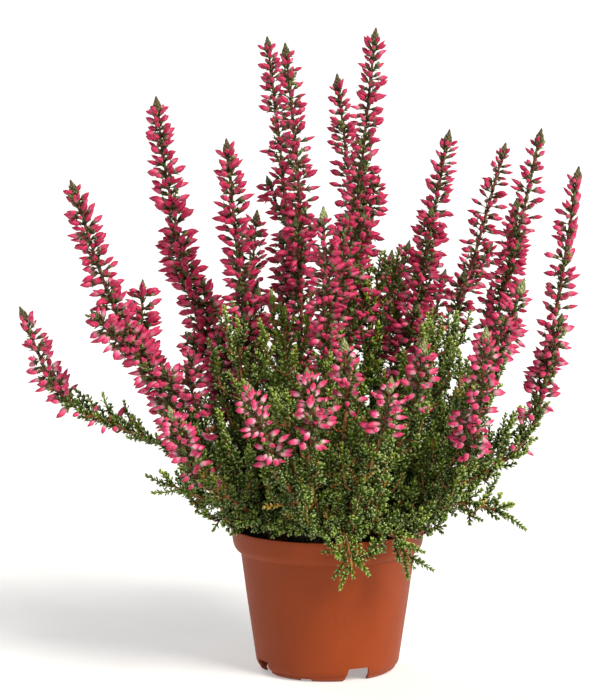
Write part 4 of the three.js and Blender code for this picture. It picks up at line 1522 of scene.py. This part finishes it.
@dataclass
class FlowerSpike:
    """The buds of one flowering stem, on their stalk, in millimetres.

    A Span gives the least and the most of a random size, and angles are in degrees.
    """

    stem: Stem
    shapes: Shapes
    # The stalk, and the twigs that hold the buds off it.
    stalk_radius: float = 0.95
    stalk_taper: float = 0.3
    side_stalk: float = 0.75
    thick_stalk_from: float = 60.0
    twig_radius: float = 0.32
    twig_length: Span = (0.9, 4.4)
    # The buds: least, most and likeliest rise, and length as a share at the foot and at the top.
    whorl_pitch: float = 3.4
    stray_pitch: float = 3.8
    bud_rise: tuple[float, float, float] = (-22, 38, 10)
    bud_shortening: Span = (0.98, 0.77)
    top_part: float = 0.2
    # Their colour, which is paler low down, and paler again in front, where this is a painted
    # highlight.
    bud_tint: Span = (-0.35, 0.42)
    pale_below: float = 225.0
    front_highlight_before: float = 10.0
    # The small leaves.
    cup_scale_lean: Span = (28, 55)
    bract_lean: Span = (14, 34)
    # The side spikes and sprigs, and their tips.
    side_end: float = 5.5
    sprig_every: float = 45.0
    sprig_length: Span = (24, 40)
    sprig_reach: Span = (9, 12)
    own_tip_size: Span = (0.72, 0.88)
    # What they keep clear of the walls of the frame's box.
    wall_margin: float = 0.6
    scale_margin: float = 5.0
    sprig_margin: float = 9.0

    def __post_init__(self) -> None:
        """Sets its random row and its heaps."""
        self.rng = random.Random(sum(ord(c) * (i + 3) for i, c in enumerate(self.stem.name)))
        self.buds = Heap()
        self.green = Heap()

    def paleness_and_front_highlight(self, place: np.ndarray) -> float:
        """How pale the buds are at a place: paler low down, and more so in front as a painted
        highlight; those low in front are nearly white at the foot.
        """
        low = clamped((mm(self.pale_below) - place[2]) / mm(80))
        front = clamped((mm(self.front_highlight_before) - place[1]) / mm(70))
        # The share that grows towards the front is a painted highlight.
        return low * (0.26 + 0.52 * front)

    def add_bud(self, foot: np.ndarray, direction: np.ndarray, size: float, long: float) -> None:
        """One bud in its cup, with two small leaves at its foot.

        Args:
            foot: Where the cup stands, in metres.
            direction: Where the bud points.
            size: Its size as a share of the usual one.
            long: Its length as a share of that size's.
        """
        rng = self.rng
        axes = axes_along(direction, rng.uniform(0, math.tau))
        tint = clamped(rng.uniform(*self.bud_tint) + self.paleness_and_front_highlight(foot))
        cup = size * rng.uniform(0.85, 1.1)
        bud_foot = foot + direction * mm(0.5 * self.shapes.calyx_length) * cup
        count = self.buds.count
        form = np.array([1, 1, long * rng.uniform(0.86, 1.12)]) * size * rng.uniform(0.9, 1.1)
        self.buds.place(rng.choice(self.shapes.buds), bud_foot, axes, form, tint)
        if self.buds.count == count:
            return
        self.green.place(self.shapes.calyx, foot, axes, np.full(3, cup), rng.uniform(0, 0.7))
        if not well_inside(foot, self.scale_margin):
            return
        for side in (axes[0], -axes[0]):
            self.shapes.add_scale(self.green, foot, direction, side, rng.uniform(*self.cup_scale_lean),
                                  np.full(3, rng.uniform(0.8, 1.15) * size), rng.uniform(0.1, 1.0), 0.0,
                                  True)

    def add_stalked_bud(self, path: Route, distance: float, turn: float, up: float) -> None:
        """A bud on its own short twig.

        Args:
            path: The stalk's line.
            distance: Where it leaves the stalk, in metres along it.
            turn: The angle round the stalk.
            up: The share of the way up the spike.
        """
        rng = self.rng
        along = path.axes(distance)[2]
        out = path.out(distance, turn)
        # Over the top part of the spike the buds turn up and grow smaller.
        top = max(0.0, up - (1 - self.top_part)) / self.top_part
        rise = math.radians(rng.triangular(*self.bud_rise) + 14 * up + 20 * top ** 2)
        heading = unit(out * math.cos(rise) + along * math.sin(rise)
                       + np.cross(along, out) * rng.uniform(-0.25, 0.25))
        long = self.stalk_radius * 0.8 + rng.uniform(*self.twig_length) * (1 - 0.6 * top)
        base = path.at(distance)
        # Near the frame's wall a bud turns up along its stalk.
        if not well_inside(base + heading * mm(long + self.shapes.bud_length), self.wall_margin):
            heading = unit(heading * 0.45 + along)
        form = np.array([self.twig_radius, self.twig_radius, long]) * mm(1)
        self.green.place(self.shapes.twig, base, axes_along(heading, 0.0), form, rng.uniform(0, 1))
        size = self.stem.fullness * (1.0 - 0.2 * top) * rng.uniform(0.86, 1.06)
        self.add_bud(base + heading * mm(long), heading, size, blend_numbers(*self.bud_shortening, up))

    def line(self, path: Route, start: float, end: float, thick: float) -> None:
        """The buds, bracts and stalk along one line.

        Args:
            path: The line.
            start: Where the buds begin, in metres along it.
            end: Where they stop.
            thick: The stalk's radius at the start in millimetres.
        """
        rng = self.rng
        rod = self.shapes.stem if end - start > mm(self.thick_stalk_from) else self.shapes.branch
        self.green.add(rod, path.wrap(rod, start, end,
                                      lambda share: mm(thick * (1 - self.stalk_taper * share))))
        whorls = max(2, round((end - start) / mm(self.whorl_pitch) * self.stem.fullness))
        turn = rng.uniform(0, math.tau)
        for n in range(whorls):
            turn += 0.8 + rng.uniform(-0.25, 0.25)
            buds = rng.choice((3, 4, 4) if n < 0.3 * whorls else (4, 4, 5))
            for k in range(buds):
                up = clamped((n + 0.5 + rng.uniform(-0.42, 0.42)) / whorls)
                around = turn + k * math.tau / buds + rng.uniform(-0.3, 0.3)
                distance = blend_numbers(start, end, up)
                if rng.random() < 0.02 + self.stem.leafiness * (1 - up) ** 2:
                    self.add_leaf_shoot(path, distance, around)
                else:
                    self.add_stalked_bud(path, distance, around, up)
                if k % 2:
                    self.add_bract(path, distance, around + 0.7)

    def add_bract(self, path: Route, distance: float, turn: float) -> None:
        """One small leaf held close to the stalk."""
        out = path.out(distance, turn)
        self.shapes.add_scale(self.green, path.at(distance) + out * mm(self.stalk_radius * 0.6),
                              path.axes(distance)[2], out, self.rng.uniform(*self.bract_lean),
                              np.full(3, self.rng.uniform(0.8, 1.2)), self.rng.uniform(0.1, 0.9), 0.0,
                              True)

    def add_leaf_shoot(self, path: Route, distance: float, turn: float) -> None:
        """A short green shoot among the buds."""
        direction = path.out(distance, turn) * 0.55 + path.axes(distance)[2] * 0.85
        self.green.place(self.rng.choice(self.shapes.plain_shoots[:3]), path.at(distance),
                         axes_along(direction, turn), np.full(3, self.rng.uniform(0.85, 1.1)),
                         self.rng.uniform(0.5, 1.0), 0.0)

    def sprigs(self) -> list[Route]:
        """The ways of the short side spikes low on a long spike."""
        stem, rng = self.stem, self.rng
        ways = []
        turn = rng.uniform(0, math.tau)
        for n in range(int(stem.bloom // self.sprig_every)):
            distance = stem.spike_from + mm(stem.bloom) * (0.02 + 0.13 * n + rng.uniform(0, 0.06))
            turn += 2.3 + rng.uniform(-0.4, 0.4)
            long = mm(rng.uniform(*self.sprig_length))
            along = stem.path.axes(distance)[2]
            out = stem.path.out(distance, turn)
            start = stem.path.at(distance)
            end = start + out * mm(rng.uniform(*self.sprig_reach)) + along * long
            if well_inside(end, self.sprig_margin):
                ways.append(Route([start, start + out * mm(6) + along * long * 0.36, end]))
        return ways

    def own_tips(self, ends: list[Route]) -> None:
        """The growing tips of the lines whose tip is no node of its own."""
        for path in ends:
            size = self.rng.uniform(*self.own_tip_size)
            foot = path.at(path.length - mm(self.shapes.tip_length) * size)
            self.green.place(self.rng.choice(self.shapes.tips), foot,
                             axes_along(path.axes(path.length)[2], 0.0), np.full(3, size), 0.0, 0.0)

    def build(self) -> list[bpy.types.Object]:
        """The spike's pieces: its buds, and its stalk with calyces."""
        stem = self.stem
        self.line(stem.path, stem.spike_from, stem.path.length - mm(0.82 * self.shapes.tip_length),
                  self.stalk_radius)
        sides = [stem.side_path(*side) for side in stem.sides] + self.sprigs()
        for side in sides:
            self.line(side, 0.0, side.length - mm(self.side_end), self.stalk_radius * self.side_stalk)
        self.own_tips(sides if stem.has_tip else [*sides, stem.path])
        for n in range(stem.strays):
            distance = stem.leafy_to - mm(self.stray_pitch) * (n + self.rng.uniform(0.2, 1.0))
            self.add_stalked_bud(stem.path, distance, self.rng.uniform(0, math.tau), 0.0)
        buds = self.buds.piece("spike_buds_" + stem.name)
        BudSepal().dress(buds)
        green = self.green.piece("spike_stalk_" + stem.name)
        CalyxLeaf().dress(green)
        for piece in (buds, green):
            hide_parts("flower_spike_" + stem.name)
        return [buds, green]


@dataclass
class SpikeTip:
    """The green growing tip on a spike."""

    stem: Stem
    shapes: Shapes
    young_from: float = -55.0

    def build(self) -> bpy.types.Object:
        """The tip, set on the last length of its stem, and young where it stands far in front."""
        rng = random.Random(sum(map(ord, self.stem.name)) + 9)
        path = self.stem.path
        foot = path.at(path.length - mm(self.shapes.tip_length))
        heap = Heap()
        heap.place(rng.choice(self.shapes.tips), foot,
                   axes_along(path.at(path.length) - foot, rng.uniform(0, math.tau)),
                   np.ones(3), 1.0 if foot[1] < mm(self.young_from) else 0.0)
        piece = heap.piece("growing_tip_" + self.stem.name)
        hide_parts("spike_tip_" + self.stem.name)
        TipScale().dress(piece)
        return piece


# ---------------------------------------------------------------- studio


@dataclass
class Studio:
    """The floor, the lights and the camera: metres and degrees, but millimetres for lens and sensor."""

    floor_radius: float = 90.0
    floor_thickness: float = 0.012
    floor_sides: int = 96
    eye: Point = (0.0, -1.508, 0.354)
    pitch_down: float = 6.86
    lens: float = 144.8
    sensor: float = 36.0
    far: float = 400.0
    light_height: float = 3.0
    sky: float = 0.33

    def build_camera(self) -> None:
        """The camera at the object's height, looking a little down."""
        deselect_all()
        bpy.ops.object.camera_add(location=self.eye,
                                  rotation=(math.radians(90 - self.pitch_down), 0, 0))
        camera = bpy.context.object
        camera.name = "camera"
        camera.data.lens = self.lens
        camera.data.sensor_width = self.sensor
        camera.data.dof.use_dof = False
        camera.data.clip_end = self.far
        bpy.context.scene.camera = camera

    def build_floor(self) -> bpy.types.Object:
        """A wide disc of pale board, its top at zero."""
        radius = self.floor_radius * 1000
        floor = turned("studio_floor", [(radius, -self.floor_thickness * 1000), (radius, 0)],
                       self.floor_sides)
        floor.data.materials.append(OpalAcrylic().material())
        return floor

    def add_sun(self, name: str, azimuth: float, elevation: float, strength: float, softness: float,
                colour: str) -> None:
        """One soft far light.

        Args:
            name: Its name.
            azimuth: Where it stands, in degrees from the front towards +X.
            elevation: Its height over the floor, in degrees.
            strength: Its strength in watts per square metre.
            softness: The angle that it fills, in degrees.
            colour: Its sRGB hex colour.
        """
        deselect_all()
        bpy.ops.object.light_add(type="SUN", location=(0, 0, self.light_height))
        light = bpy.context.object
        light.name = name
        light.rotation_euler = (math.radians(90 - elevation), 0, math.radians(azimuth))
        light.data.energy = strength
        light.data.angle = math.radians(softness)
        light.data.color = linear(colour)[:3]

    def build_lights(self) -> None:
        """A large soft key from the right, a weaker light from behind and an even pale sky."""
        self.add_sun("key", azimuth=46, elevation=40, strength=4.25, softness=26, colour="#fff9f0")
        self.add_sun("rim", azimuth=215, elevation=40, strength=1.0, softness=30, colour="#ffffff")
        world = bpy.data.worlds.new("pale_sky")
        bpy.context.scene.world = world
        world.use_nodes = True
        tree = world.node_tree
        # The camera sees a white sky, and the plant is lit by a dimmer one.
        seen = add_node(tree, "LightPath", {}, "Is Camera Ray")
        strength = add_node(tree, "Math", {0: seen, 1: 1.0 - self.sky, 2: self.sky}, **SCALED)
        connect(tree, tree.nodes["Background"], {"Color": linear("#ffffff"), "Strength": strength})
        bpy.context.scene.view_settings.view_transform = "Standard"


# ---------------------------------------------------------------- assembly


def report(piece: bpy.types.Object) -> None:
    """Lets a piece ride on the body and logs its size."""
    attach(piece, BODY)
    LOG.info("%s: %d faces", piece.name, len(piece.data.polygons))


def main() -> None:
    """Builds the studio, the pot, the soil and the plant."""
    logging.basicConfig(level=logging.INFO, format="%(name)s %(message)s")
    studio = Studio()
    studio.build_camera()
    studio.build_floor()
    studio.build_lights()
    report(Pot().build())
    report(Soil().build())
    shapes = Shapes()
    for bunch in Bunch:
        stems = [stem for stem in (*FLOWERING, *LEAFY) if stem.bunch is bunch]
        for piece in LeafyBunch(bunch, stems, shapes).build():
            report(piece)
    for stem in FLOWERING:
        for piece in FlowerSpike(stem, shapes).build():
            report(piece)
        if stem.has_tip:
            report(SpikeTip(stem, shapes).build())
    deselect_all()


if __name__ == "__main__":
    main()
